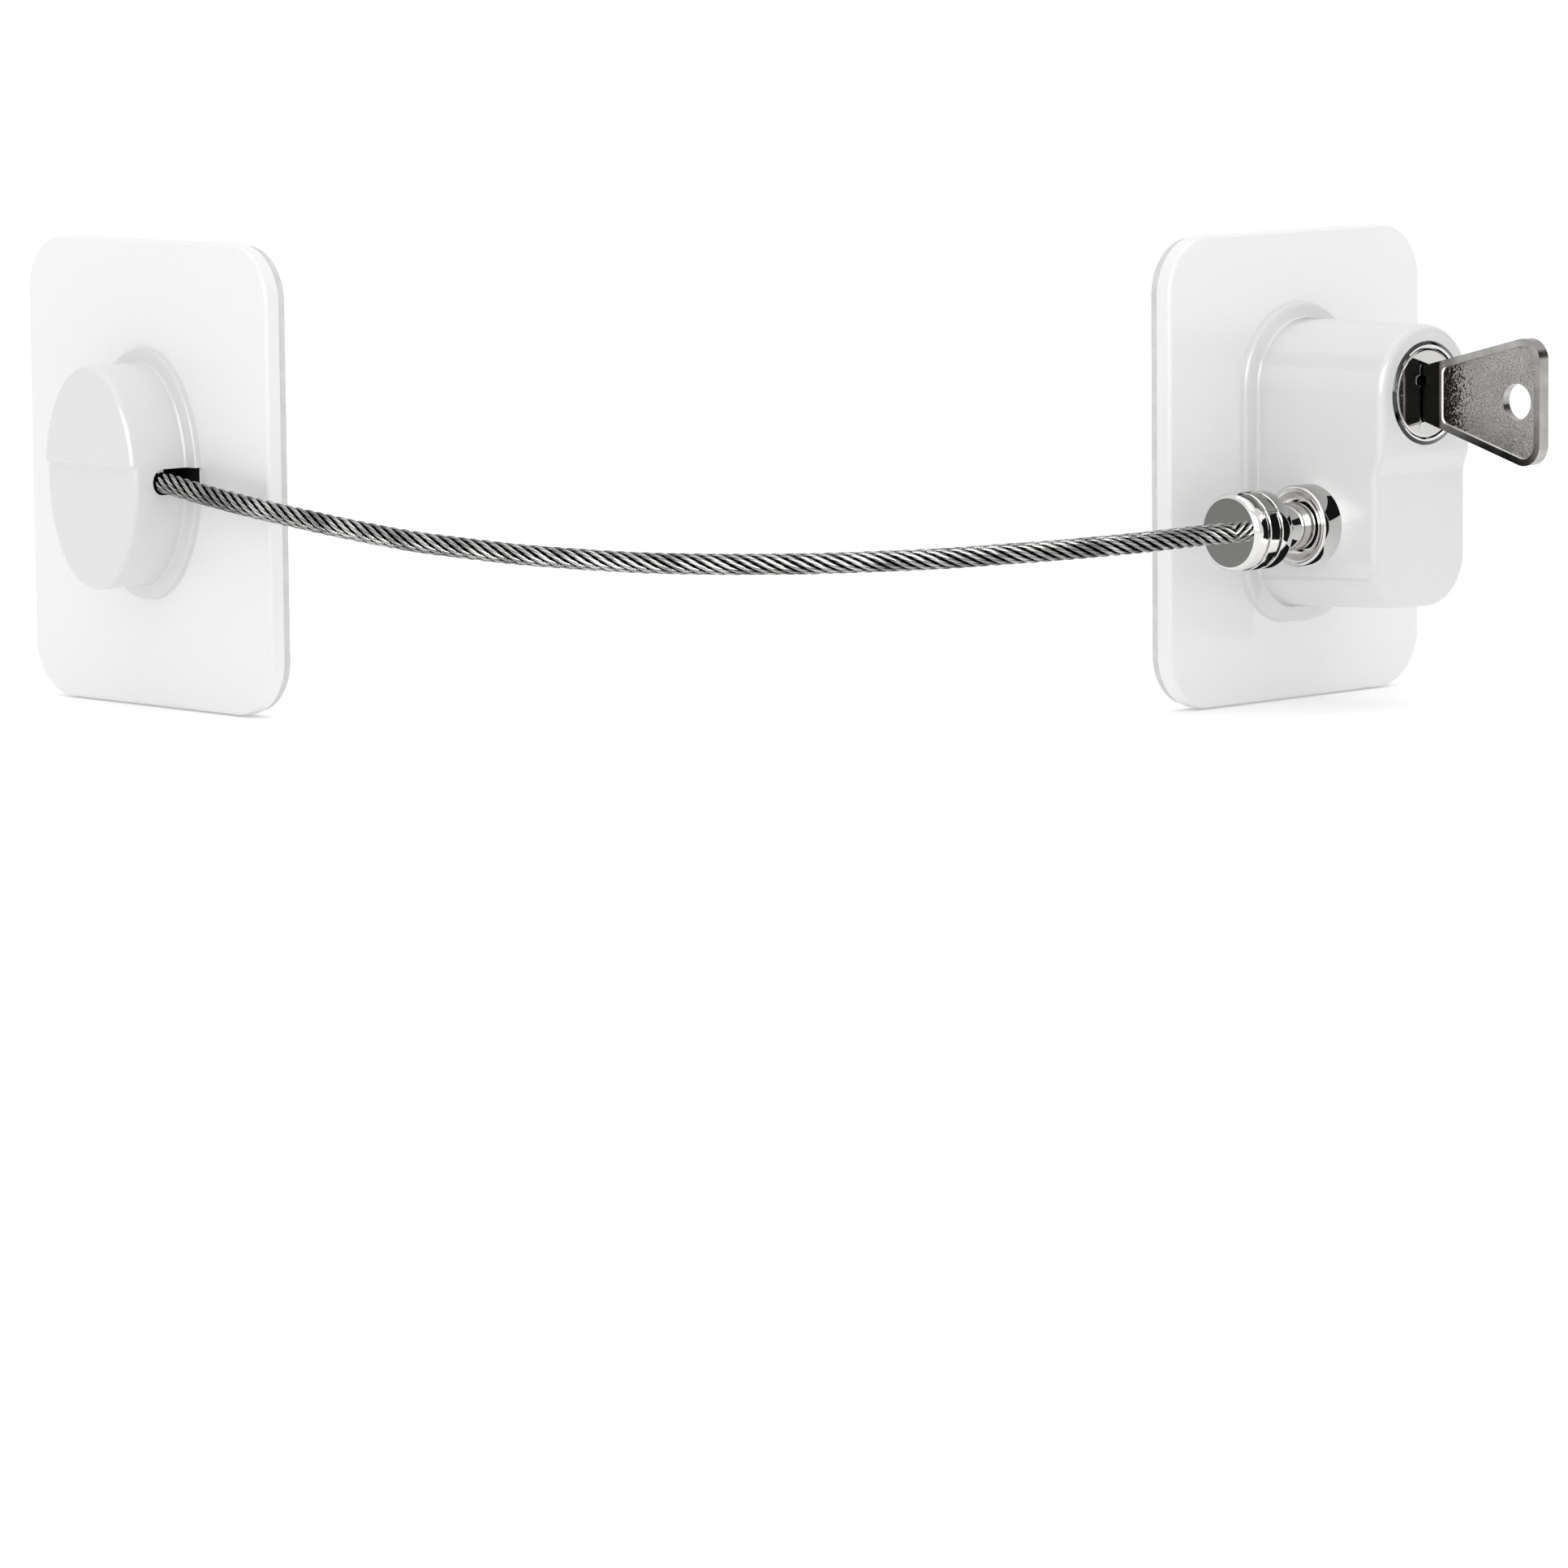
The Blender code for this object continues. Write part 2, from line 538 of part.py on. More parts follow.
def cylinder_rotor(parent):
    """The turning plug: flange, body with keyway and wafer slots, tail and flatted shaft."""
    body_rear = SHELL_REAR_DEPTH + SEAM
    profile = [(at_depth(ROTOR_FACE_DEPTH), 0), (at_depth(ROTOR_FACE_DEPTH), ROTOR_FLANGE_RADIUS - SEAM),
               (at_depth(ROTOR_FACE_DEPTH - SEAM), ROTOR_FLANGE_RADIUS),
               (at_depth(ROTOR_FACE_DEPTH - ROTOR_FLANGE), ROTOR_FLANGE_RADIUS),
               (at_depth(ROTOR_FACE_DEPTH - ROTOR_FLANGE), ROTOR_RADIUS),
               (at_depth(body_rear), ROTOR_RADIUS), (at_depth(body_rear), TAIL_RADIUS),
               (at_depth(TAIL_END_DEPTH), TAIL_RADIUS), (at_depth(TAIL_END_DEPTH), SHAFT_RADIUS),
               (at_depth(SHAFT_END_DEPTH), SHAFT_RADIUS), (at_depth(SHAFT_END_DEPTH), 0)]
    rotor = object_from("cylinder_rotor", turned(profile, 36, "Y"), chrome(), (0, 0, CYLINDER_Z), parent)
    keyway = block((-KEYWAY_HALF_WIDTH, at_depth(ROTOR_FACE_DEPTH + CUT_OVER), -KEYWAY_HALF_HEIGHT),
                   (KEYWAY_HALF_WIDTH, at_depth(KEYWAY_END_DEPTH), KEYWAY_HALF_HEIGHT))
    combine(rotor, keyway)
    slot_half = WAFER_HALF_WIDTH + SLIDING
    slot_reach = WAFER_THICKNESS / 2 + SEAM
    for index in range(WAFER_COUNT):
        centre = at_depth(WAFER_FIRST_DEPTH - index * WAFER_PITCH)
        combine(rotor, block((-slot_half, centre - slot_reach, -0.01), (slot_half, centre + slot_reach, 0.01)))
    flat_y = at_depth(TAIL_END_DEPTH)
    combine(rotor, block((SHAFT_FLAT, flat_y, -0.01), (0.01, flat_y + 0.01, 0.01)))
    tapped = rod(SCREW_RADIUS + SEAM, at_depth(SHAFT_END_DEPTH - CUT_OVER),
                 at_depth(SHAFT_END_DEPTH + CAM_SCREW_HOLE), 12)
    combine(rotor, tapped)
    return rotor


def wafer(index, parent):
    """A flat tumbler with round ends and a window that the key passes through."""
    tip_radius = ROTOR_RADIUS - SEAM
    reach = math.degrees(math.asin(WAFER_HALF_WIDTH / tip_radius))
    top = arc(0, 0, tip_radius, 90 - reach, 90 + reach, 4)
    low = arc(0, 0, tip_radius, 270 - reach, 270 + reach, 4)
    centre = at_depth(WAFER_FIRST_DEPTH - index * WAFER_PITCH)
    front, rear = centre - WAFER_THICKNESS / 2, centre + WAFER_THICKNESS / 2
    shape = loft([(front, top + low), (rear, top + low)])
    name = f"wafer_{index + 1}"
    made = object_from(name, shape, brass(), (0, 0, CYLINDER_Z), parent)
    window = block((-KEYWAY_HALF_WIDTH, front - CUT_OVER, -KEYWAY_HALF_HEIGHT),
                   (KEYWAY_HALF_WIDTH, rear + CUT_OVER, KEYWAY_HALF_HEIGHT))
    combine(made, window)
    return made


def rotor_circlip(parent):
    front = at_depth(SHELL_REAR_DEPTH - SEAM)
    rear = front + CIRCLIP_THICKNESS
    inner = TAIL_RADIUS + SEAM
    profile = [(front, inner), (front, CIRCLIP_RADIUS), (rear, CIRCLIP_RADIUS), (rear, inner)]
    clip = object_from("rotor_circlip", turned(profile, 24, "Y"), steel(), (0, 0, CYLINDER_Z), parent)
    combine(clip, block((-0.0010, front - CUT_OVER, 0), (0.0010, rear + CUT_OVER, 0.01)))
    return clip


def cam_radius(angle):
    """Radius at an angle round from the bottom, on the side that the key brings down to the latch."""
    rise_end = KEY_TURN + math.radians(20)
    fall_end = math.radians(200)
    slope = LATCH_TRAVEL / KEY_TURN
    if angle < 0 or angle > fall_end:
        return CAM_RADIUS
    if angle <= rise_end:
        return CAM_RADIUS + slope * angle
    return CAM_RADIUS + slope * rise_end * (fall_end - angle) / (fall_end - rise_end)


def rotor_cam(parent):
    steps = 48
    outline = []
    for step in range(steps):
        angle = 2 * math.pi * step / steps
        radius = cam_radius(angle)
        outline.append((radius * math.sin(angle), -radius * math.cos(angle)))
    shape = loft([(at_depth(CAM_FRONT_DEPTH), outline), (at_depth(CAM_REAR_DEPTH), outline)])
    cam = object_from("rotor_cam", shape, steel(), (0, 0, CYLINDER_Z), parent)
    flat_angle = math.degrees(math.acos(SHAFT_FLAT / SHAFT_RADIUS))
    bore = arc(0, 0, SHAFT_RADIUS + SEAM, flat_angle, 360 - flat_angle, 20)
    combine(cam, loft([(at_depth(CAM_FRONT_DEPTH + CUT_OVER), bore), (at_depth(CAM_REAR_DEPTH - CUT_OVER), bore)]))
    return cam


def cam_screw(parent):
    seat = at_depth(CAM_REAR_DEPTH - SEAM)
    top = seat + CAM_SCREW_HEAD
    tip = at_depth(SHAFT_END_DEPTH + CAM_SCREW_REACH)
    profile = [(top, 0), (top, CAM_SCREW_HEAD_RADIUS - GAP), (top - SEAM, CAM_SCREW_HEAD_RADIUS),
               (seat, CAM_SCREW_HEAD_RADIUS), (seat, SCREW_RADIUS), (tip, SCREW_RADIUS), (tip, 0)]
    screw = object_from("cam_screw", turned(profile, 20, "Y"), steel(), (0, 0, CYLINDER_Z), parent)
    slot_half, slot_reach = 0.0003, 2 * CAM_SCREW_HEAD_RADIUS
    combine(screw, block((-slot_half, seat + CAM_SCREW_HEAD / 2, -slot_reach),
                         (slot_half, top + CUT_OVER, slot_reach)))
    return screw


def drooped(points):
    """Points of the bow lowered evenly from nothing at the shoulder to the full drop at its end."""
    length = BOW_START + BOW_LENGTH
    return [(depth, z - BOW_DROP * max(0.0, depth - KEY_SHOULDER_DEPTH) / length, *rest)
            for depth, z, *rest in points]


def key(parent):
    """Flat key: notched blade in the keyway, short neck, and a flared bow with a recessed panel and a ring hole."""
    tip = KEYWAY_END_DEPTH + BLADE_TIP_CLEARANCE
    bow_start = KEY_SHOULDER_DEPTH + BOW_START
    bow_end = bow_start + BOW_LENGTH
    half, corner_depth = BLADE_HALF_HEIGHT, tip + BLADE_CHAMFER
    lower = [(tip, half - BLADE_CHAMFER), (corner_depth, half)]
    for index, cut in reversed(list(enumerate(BITTING))):
        centre = WAFER_FIRST_DEPTH - index * WAFER_PITCH
        lower += [(centre - BITTING_HALF_LENGTH, half), (centre, half - cut), (centre + BITTING_HALF_LENGTH, half)]
    lower += [(KEY_SHOULDER_DEPTH, half), (KEY_SHOULDER_DEPTH, BOW_NARROW_HALF_HEIGHT)]
    corners = [(depth, -z, 0) for depth, z in lower]
    corners += [(bow_end, -BOW_WIDE_HALF_HEIGHT, BOW_CORNER), (bow_end, BOW_WIDE_HALF_HEIGHT, BOW_CORNER)]
    corners += [(KEY_SHOULDER_DEPTH, BOW_NARROW_HALF_HEIGHT, 0), (KEY_SHOULDER_DEPTH, half, 0),
                (corner_depth, half, 0), (tip, half - BLADE_CHAMFER, 0)]
    outline = [(at_depth(depth), z) for depth, z in rounded_corners(drooped(corners))]
    shape = loft([(-KEY_THICKNESS / 2, outline), (KEY_THICKNESS / 2, outline)], "X")
    made = object_from("key", shape, nickel(), (0, 0, CYLINDER_Z), parent)
    spread = (BOW_WIDE_HALF_HEIGHT - BOW_NARROW_HALF_HEIGHT) / (bow_end - KEY_SHOULDER_DEPTH)
    panel_start, panel_end = bow_start + BOW_RIM, bow_end - BOW_RIM
    narrow = BOW_NARROW_HALF_HEIGHT + spread * (panel_start - KEY_SHOULDER_DEPTH) - BOW_RIM
    wide = BOW_NARROW_HALF_HEIGHT + spread * (panel_end - KEY_SHOULDER_DEPTH) - BOW_RIM
    inner_corner = BOW_CORNER - BOW_RIM
    panel = rounded_corners(drooped([(panel_start, -narrow, BOW_RIM), (panel_end, -wide, inner_corner),
                                     (panel_end, wide, inner_corner), (panel_start, narrow, BOW_RIM)]))
    panel = [(at_depth(depth), z) for depth, z in panel]
    for side in (-1, 1):
        surface = side * KEY_THICKNESS / 2
        combine(made, loft([(surface - side * BOW_RECESS, panel), (surface + side * CUT_OVER, panel)], "X"))
    hole = rod(BOW_HOLE_RADIUS, -KEY_THICKNESS, KEY_THICKNESS, 24, "X")
    hole_depth, hole_z = drooped([(bow_end - BOW_HOLE_FROM_END, 0)])[0]
    combine(made, hole, place=(0, at_depth(hole_depth), hole_z))
    return made


# Socket and plug

def socket_bushing(parent):
    """Flanged socket with a dished mouth, a groove for the grip ring and a threaded neck."""
    bore = PIN_RADIUS + SLIDING
    face, back = SOCKET_FACE_X, -HOUSING_HALF_WIDTH - SEAM
    rim = SOCKET_FLANGE_RADIUS - SOCKET_RIM
    groove = 2 * GRIP_RING_RADIUS + GAP
    groove_right = back - GRIP_RING_INSET
    flange = SOCKET_FLANGE_RADIUS
    profile = [(face, rim), (face, flange - SOCKET_BEVEL), (face + SOCKET_BEVEL, flange),
               (back, flange), (back, SOCKET_NECK_RADIUS), (SOCKET_INNER_X, SOCKET_NECK_RADIUS),
               (SOCKET_INNER_X, bore), (groove_right, bore), (groove_right, bore + groove),
               (groove_right - groove, bore + groove), (groove_right - groove, bore),
               (face + SOCKET_DISH, bore), (face + SOCKET_DISH * 0.8, rim - SOCKET_RIM)]
    return object_from("socket_bushing", turned(profile, 32), chrome(), (0, SOCKET_Y, SOCKET_Z), parent)


def socket_nut(parent):
    left = -HOUSING_HALF_WIDTH + HOUSING_WALL + SEAM
    hexagon = arc(0, 0, NUT_RADIUS, 0, 300, 5)
    shape = loft([(left, hexagon), (left + NUT_THICKNESS, hexagon)], "X")
    nut = object_from("socket_nut", shape, chrome(), (0, SOCKET_Y, SOCKET_Z), parent)
    combine(nut, rod(SOCKET_NECK_RADIUS + SEAM, left - CUT_OVER, left + NUT_THICKNESS + CUT_OVER, 28, "X"))
    return nut


def socket_grip_ring(parent):
    """The rubber ring in the socket that holds the plug where it is pushed."""
    middle_x = -HOUSING_HALF_WIDTH - SEAM - GRIP_RING_INSET - GRIP_RING_RADIUS - GAP / 2
    middle_radius = PIN_RADIUS + SEAM + GRIP_RING_RADIUS
    section = [(middle_x + x, middle_radius + z) for x, z in arc(0, 0, GRIP_RING_RADIUS, 0, 315, 7)]
    return object_from("socket_grip_ring", turned(section, 28), rubber(), (0, SOCKET_Y, SOCKET_Z), parent)


def pin_groove(centre_x):
    """Corners of a latch groove in the plug's pin."""
    left, right = centre_x - PIN_GROOVE_HALF, centre_x + PIN_GROOVE_HALF
    return [(left, PIN_RADIUS), (left, PIN_GROOVE_RADIUS), (right, PIN_GROOVE_RADIUS), (right, PIN_RADIUS)]


def cable_plug(parent):
    """Banded head on the cable's end, with a pin that has two catches: as it stands, and pushed home."""
    face, back = PLUG_FACE_X, PLUG_BACK_X
    full, bottom = PLUG_HEAD_RADIUS, PLUG_HEAD_RADIUS - PLUG_GROOVE_DEPTH
    profile = [(face, 0), (face, full - PLUG_BEVEL), (face + PLUG_BEVEL, full)]
    for start in PLUG_GROOVE_STARTS:
        left, right = face + start, face + start + PLUG_GROOVE_WIDTH
        profile += [(left, full), (left + PLUG_GROOVE_SLOPE, bottom),
                    (right - PLUG_GROOVE_SLOPE, bottom), (right, full)]
    profile += [(back - GAP, full), (back, full - GAP), (back, PIN_RADIUS)]
    profile += pin_groove(LATCH_X - PLUG_TRAVEL_IN) + pin_groove(LATCH_X)
    profile += [(PIN_END_X - PIN_TIP / 2, PIN_RADIUS), (PIN_END_X, PIN_TIP_RADIUS), (PIN_END_X, 0)]
    return object_from("cable_plug", turned(profile, 32), chrome(), parent=parent)


# Latch

def latch(parent):
    """Gate that drops into the pin's groove, with an arm that reaches back under the cam."""
    left, right = LATCH_X - LATCH_THICKNESS / 2, LATCH_X + LATCH_THICKNESS / 2
    shell_low_z = CYLINDER_Z - SHELL_SHOULDER_RADIUS
    gate_top = shell_low_z - GAP
    gate_low = SOCKET_Z + LATCH_LEG
    gate = block((left, SOCKET_Y - LATCH_HALF_WIDTH, gate_low), (right, LATCH_REAR_Y, gate_top))
    made = object_from("latch", gate, steel(), parent=parent)
    arm_front = LATCH_REAR_Y - LATCH_ARM_LENGTH
    arm = block((left, arm_front, LATCH_TOP_Z - LATCH_ARM_THICKNESS), (LATCH_ARM_X, LATCH_REAR_Y, LATCH_TOP_Z))
    combine(made, arm, "UNION")
    combine(made, rod(LATCH_ARC_RADIUS, left - CUT_OVER, right + CUT_OVER, 32, "X"),
            place=(0, SOCKET_Y, SOCKET_Z))
    return made


def latch_guide(parent):
    """Block behind the socket that the pin passes through and the latch slides in."""
    left = SOCKET_INNER_X + GAP
    slot_left = LATCH_X - LATCH_THICKNESS / 2 - SLIDING
    slot_right = LATCH_X + LATCH_THICKNESS / 2 + SLIDING
    front = SOCKET_Y - LATCH_HALF_WIDTH - SLIDING
    rear = LATCH_REAR_Y + SLIDING
    slot_low = SOCKET_Z + LATCH_LEG - LATCH_TRAVEL - SLIDING
    low = SOCKET_Z - PIN_RADIUS - SLIDING - GUIDE_WALL
    body = block((left, front - GUIDE_WALL, low), (GUIDE_RIGHT_X, at_depth(SEAM), GUIDE_TOP_Z))
    guide = object_from("latch_guide", body, steel(), parent=parent)
    combine(guide, block((slot_left, front, slot_low), (slot_right, rear, GUIDE_TOP_Z + CUT_OVER)))
    combine(guide, rod(PIN_RADIUS + SLIDING, left - CUT_OVER, GUIDE_RIGHT_X + CUT_OVER, 28, "X"),
            place=(0, SOCKET_Y, SOCKET_Z))
    return guide


def latch_spring(parent):
    """Compression spring between the guide and the underside of the latch's arm."""
    start_z = GUIDE_TOP_Z + SPRING_WIRE + SEAM
    end_z = LATCH_TOP_Z - LATCH_ARM_THICKNESS - SPRING_WIRE - SEAM
    centre_x = (LATCH_X + LATCH_THICKNESS / 2 + SLIDING + GUIDE_RIGHT_X) / 2
    centre_y = LATCH_REAR_Y - LATCH_ARM_LENGTH / 2
    curve = bpy.data.curves.new("latch_spring", "CURVE")
    curve.dimensions = "3D"
    curve.bevel_depth = SPRING_WIRE
    curve.bevel_resolution = 1
    curve.use_fill_caps = True
    coil = curve.splines.new("POLY")
    per_turn = 12
    count = SPRING_TURNS * per_turn + 1
    coil.points.add(count - 1)
    for index in range(count):
        turn = 2 * math.pi * index / per_turn
        height = start_z + (end_z - start_z) * index / (count - 1)
        coil.points[index].co = (centre_x + SPRING_RADIUS * math.cos(turn),
                                 centre_y + SPRING_RADIUS * math.sin(turn), height, 1)
    curve.materials.append(steel())
    made = bpy.data.objects.new("latch_spring", curve)
    made.parent = parent
    bpy.context.scene.collection.objects.link(made)
    return made


# Anchor

def anchor_cover(parent):
    def outline(grow):
        return ellipse(COVER_HALF_WIDTH + grow, COVER_HALF_HEIGHT + grow)

    foot = [(SEAM, COVER_COLLAR), (COLLAR_HEIGHT - COLLAR_SLOPE, COVER_COLLAR - COLLAR_SLOPE / 2),
            (COLLAR_HEIGHT, SEAM), (COLLAR_HEIGHT + COLLAR_SLOPE, 0)]
    rings = foot + edge_stations(COVER_DEPTH, COVER_EDGE)
    shape = loft([(at_depth(depth), outline(grow)) for depth, grow in rings])
    step_front(shape, COVER_STEP_Z + COVER_STEP_HEIGHT, COVER_STEP_Z, COVER_STEP, at_depth(COVER_CAVITY_DEPTH))
    cover = object_from("anchor_cover", shape, white_plastic(), parent=parent)
    inner = outline(-COVER_WALL)
    combine(cover, loft([(at_depth(-CUT_OVER), inner), (at_depth(COVER_CAVITY_DEPTH), inner)]))
    for x, z in ANCHOR_SCREWS:
        screw_post(cover, x, z, COVER_CAVITY_DEPTH + CUT_OVER / 2)
    stop_rear = COVER_HALF_WIDTH - COVER_WALL - GAP - STOP_LENGTH - GAP
    rib_half = STOP_RADIUS + STOP_RIB
    rib = block((stop_rear - STOP_RIB, at_depth(COVER_CAVITY_DEPTH + CUT_OVER / 2), -rib_half),
                (stop_rear, at_depth(COLLAR_HEIGHT), rib_half))
    combine(cover, rib, "UNION")
    half = CABLE_SLOT_HEIGHT / 2
    slot_profile = arc(at_depth(CABLE_DEPTH), CABLE_EXIT_Z, half, 90, 270, 10)
    slot_profile += [(at_depth(-CUT_OVER), CABLE_EXIT_Z - half), (at_depth(-CUT_OVER), CABLE_EXIT_Z + half)]
    wall_inside = COVER_HALF_WIDTH - COVER_WALL - CUT_OVER
    slot = loft([(wall_inside, slot_profile),
                 (COVER_HALF_WIDTH + COVER_COLLAR + CUT_OVER, slot_profile)], "X")
    combine(cover, slot)
    return cover


def cable_stop(parent):
    """Crimped sleeve on the cable's end, too wide for the slot in the cover."""
    end = COVER_HALF_WIDTH - COVER_WALL - GAP
    start = end - STOP_LENGTH
    waist = STOP_RADIUS - STOP_CRIMP
    profile = [(start, 0), (start, STOP_RADIUS - STOP_CRIMP), (start + STOP_CRIMP, STOP_RADIUS)]
    for share in (0.25, 0.6):
        middle = start + STOP_LENGTH * share
        profile += [(middle - STOP_GROOVE, STOP_RADIUS), (middle - STOP_GROOVE / 2, waist),
                    (middle + STOP_GROOVE / 2, waist), (middle + STOP_GROOVE, STOP_RADIUS)]
    profile += [(end - STOP_CRIMP, STOP_RADIUS), (end, STOP_RADIUS - STOP_CRIMP), (end, 0)]
    place = (0, at_depth(CABLE_DEPTH), CABLE_EXIT_Z)
    return object_from("cable_stop", turned(profile, 20), chrome(), place, parent)


# Cable

def smooth_route(points, spacing):
    """Points about one spacing apart on the smooth curve through the route's points."""
    ends = [points[0] * 2 - points[1]] + points + [points[-1] * 2 - points[-2]]
    fine = []
    for before, start, end, after in zip(ends, ends[1:], ends[2:], ends[3:]):
        for step in range(20):
            t = step / 20
            fine.append(0.5 * (2 * start + (end - before) * t + (2 * before - 5 * start + 4 * end - after) * t * t
                               + (3 * start - before - 3 * end + after) * t ** 3))
    fine.append(points[-1])
    travelled = [0.0]
    for start, end in zip(fine, fine[1:]):
        travelled.append(travelled[-1] + (end - start).length)
    count = max(2, round(travelled[-1] / spacing) + 1)
    picked, index = [], 0
    for number in range(count):
        goal = travelled[-1] * number / (count - 1)
        while index < len(fine) - 2 and travelled[index + 1] < goal:
            index += 1
        share = (goal - travelled[index]) / (travelled[index + 1] - travelled[index])
        picked.append(fine[index].lerp(fine[index + 1], min(1.0, share)))
    return picked


def cable_route():
    """The route, its two halves eased over so that they end on the cover's slot and on the plug's axis."""
    points = [Vector(point) for point in CABLE_ROUTE]
    start = Vector((ANCHOR_X + at_depth(CABLE_DEPTH), points[0].y, CABLE_EXIT_Z))
    end = Vector((PLUG_FACE_X - CABLE_PLUG_GAP, SOCKET_Y, SOCKET_Z))
    start_shift, end_shift = start - points[0], end - points[-1]
    last = len(points) - 1
    for index, point in enumerate(points):
        if index < CABLE_BEND_POINT:
            point += start_shift * (1 - index / CABLE_BEND_POINT)
        else:
            point += end_shift * ((index - CABLE_BEND_POINT) / (last - CABLE_BEND_POINT))
    return points


def cable_tube(name, route, trim_start, trim_end, origin, parent):
    """A plain tube along part of the route, its ends cut back by the given amounts."""
    points = smooth_route(route, CABLE_SPACING)
    points[0] = points[0] + (points[1] - points[0]).normalized() * trim_start
    points[-1] = points[-1] + (points[-2] - points[-1]).normalized() * trim_end
    curve = bpy.data.curves.new(name, "CURVE")
    curve.dimensions = "3D"
    curve.bevel_depth = CABLE_DIAMETER / 2
    curve.bevel_resolution = 2
    curve.use_fill_caps = True
    spline = curve.splines.new("POLY")
    spline.points.add(len(points) - 1)
    for spline_point, point in zip(spline.points, points):
        spline_point.co = (*(point - origin), 1)
    curve.materials.append(wire_rope())
    made = bpy.data.objects.new(name, curve)
    made.parent = parent
    bpy.context.scene.collection.objects.link(made)
    return made


def pivot(name, place, parent=None, turn=0.0):
    """An empty on a joint's axis, or at the seat of a sub-assembly."""
    made = bpy.data.objects.new(name, None)
    made.location = place
    made.rotation_euler = (0, 0, turn)
    made.parent = parent
    bpy.context.scene.collection.objects.link(made)
    return made


def build_lock():
    seat = pivot("lock_seat", (0, 0, 0))
    adhesive_pad("lock_adhesive_pad", seat)
    base_plate("lock_base_plate", LOCK_SCREWS, seat)
    for number, (x, z) in enumerate(LOCK_SCREWS, 1):
        plate_screw(f"lock_screw_{number}", x, z, seat)
    lock_housing(seat)
    cylinder_shell(seat)
    cylinder_retainer(seat)
    socket_bushing(seat)
    socket_nut(seat)
    socket_grip_ring(seat)
    latch_guide(seat)
    latch_spring(seat)
    latch(seat)
    cylinder_rotor(seat)
    rotor_circlip(seat)
    rotor_cam(seat)
    cam_screw(seat)
    for index in range(WAFER_COUNT):
        wafer(index, seat)
    key(seat)


def build_cable_and_anchor():
    route = cable_route()
    bend = route[CABLE_BEND_POINT]
    plug_axis = pivot("plug_axis", (0, SOCKET_Y, SOCKET_Z))
    cable_plug(plug_axis)
    cable_tube("cable_lock_half", route[CABLE_BEND_POINT:], GAP / 2, 0, plug_axis.location, plug_axis)
    bend_axis = pivot("cable_bend_axis", bend)
    cable_tube("cable_anchor_half", route[:CABLE_BEND_POINT + 1], 0, GAP / 2, bend, bend_axis)
    seat = pivot("anchor_seat", Vector((ANCHOR_X, ANCHOR_Y, 0)) - bend, bend_axis, -math.pi / 2)
    adhesive_pad("anchor_adhesive_pad", seat)
    base_plate("anchor_base_plate", ANCHOR_SCREWS, seat)
    for number, (x, z) in enumerate(ANCHOR_SCREWS, 1):
        plate_screw(f"anchor_screw_{number}", x, z, seat)
    anchor_cover(seat)
    cable_stop(seat)


def main():
    for existing in list(bpy.data.objects):
        bpy.data.objects.remove(existing)
    build_lock()
    build_cable_and_anchor()
    bpy.context.view_layer.update()


main()
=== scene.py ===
"""Looks of the window restrictor cable: a key lock and an anchor on adhesive plates, joined by a wire rope.

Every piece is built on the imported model, in its frame: metres, +Z up, the lock's plate facing -Y and the
anchor's facing -X. "Depth" is a distance outwards from the front face of a base plate.
"""
import json
import math

import bmesh
import bpy
from mathutils import Matrix, Vector


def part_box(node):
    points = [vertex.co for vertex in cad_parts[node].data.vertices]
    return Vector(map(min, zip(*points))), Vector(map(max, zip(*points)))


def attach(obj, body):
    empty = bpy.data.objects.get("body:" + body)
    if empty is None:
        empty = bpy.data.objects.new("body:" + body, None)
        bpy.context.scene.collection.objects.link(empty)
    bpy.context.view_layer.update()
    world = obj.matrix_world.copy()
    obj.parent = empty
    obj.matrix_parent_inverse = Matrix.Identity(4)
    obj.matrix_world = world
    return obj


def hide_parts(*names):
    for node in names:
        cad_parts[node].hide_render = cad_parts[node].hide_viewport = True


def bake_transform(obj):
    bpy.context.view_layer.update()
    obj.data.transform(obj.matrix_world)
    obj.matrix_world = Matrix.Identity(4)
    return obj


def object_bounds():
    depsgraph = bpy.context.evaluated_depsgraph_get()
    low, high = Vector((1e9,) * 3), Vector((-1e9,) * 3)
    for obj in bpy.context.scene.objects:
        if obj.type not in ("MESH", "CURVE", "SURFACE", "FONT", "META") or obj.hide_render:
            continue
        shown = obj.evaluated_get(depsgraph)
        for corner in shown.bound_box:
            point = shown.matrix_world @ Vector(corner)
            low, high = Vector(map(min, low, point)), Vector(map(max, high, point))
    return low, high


MM = 0.001
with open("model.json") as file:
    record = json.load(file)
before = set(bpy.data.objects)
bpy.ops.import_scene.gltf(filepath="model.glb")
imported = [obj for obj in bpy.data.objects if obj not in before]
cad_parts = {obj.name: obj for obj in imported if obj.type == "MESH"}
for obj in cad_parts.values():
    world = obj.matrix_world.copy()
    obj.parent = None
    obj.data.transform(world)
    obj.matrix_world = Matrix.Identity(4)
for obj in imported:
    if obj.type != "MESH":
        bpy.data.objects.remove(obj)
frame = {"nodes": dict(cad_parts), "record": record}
cad_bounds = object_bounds()
MOUNTS = {mount["name"]: Vector(mount["pos_m"]) for mount in frame["record"]["mounts"]}


def middle(node):
    low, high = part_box(node)
    return (low + high) / 2


# Places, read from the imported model
LOCK_FRONT_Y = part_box("lock_base_plate")[0].y
LOCK_BACK_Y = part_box("lock_base_plate")[1].y
CYLINDER_AXIS = Vector((0, 0, middle("cylinder_rotor").z))
SOCKET_AXIS = Vector((0, middle("socket_bushing").y, middle("socket_bushing").z))
ANCHOR_SEAT = Matrix.Translation(MOUNTS["anchor_adhesive_face"]) @ Matrix.Rotation(-math.pi / 2, 4, "Z")


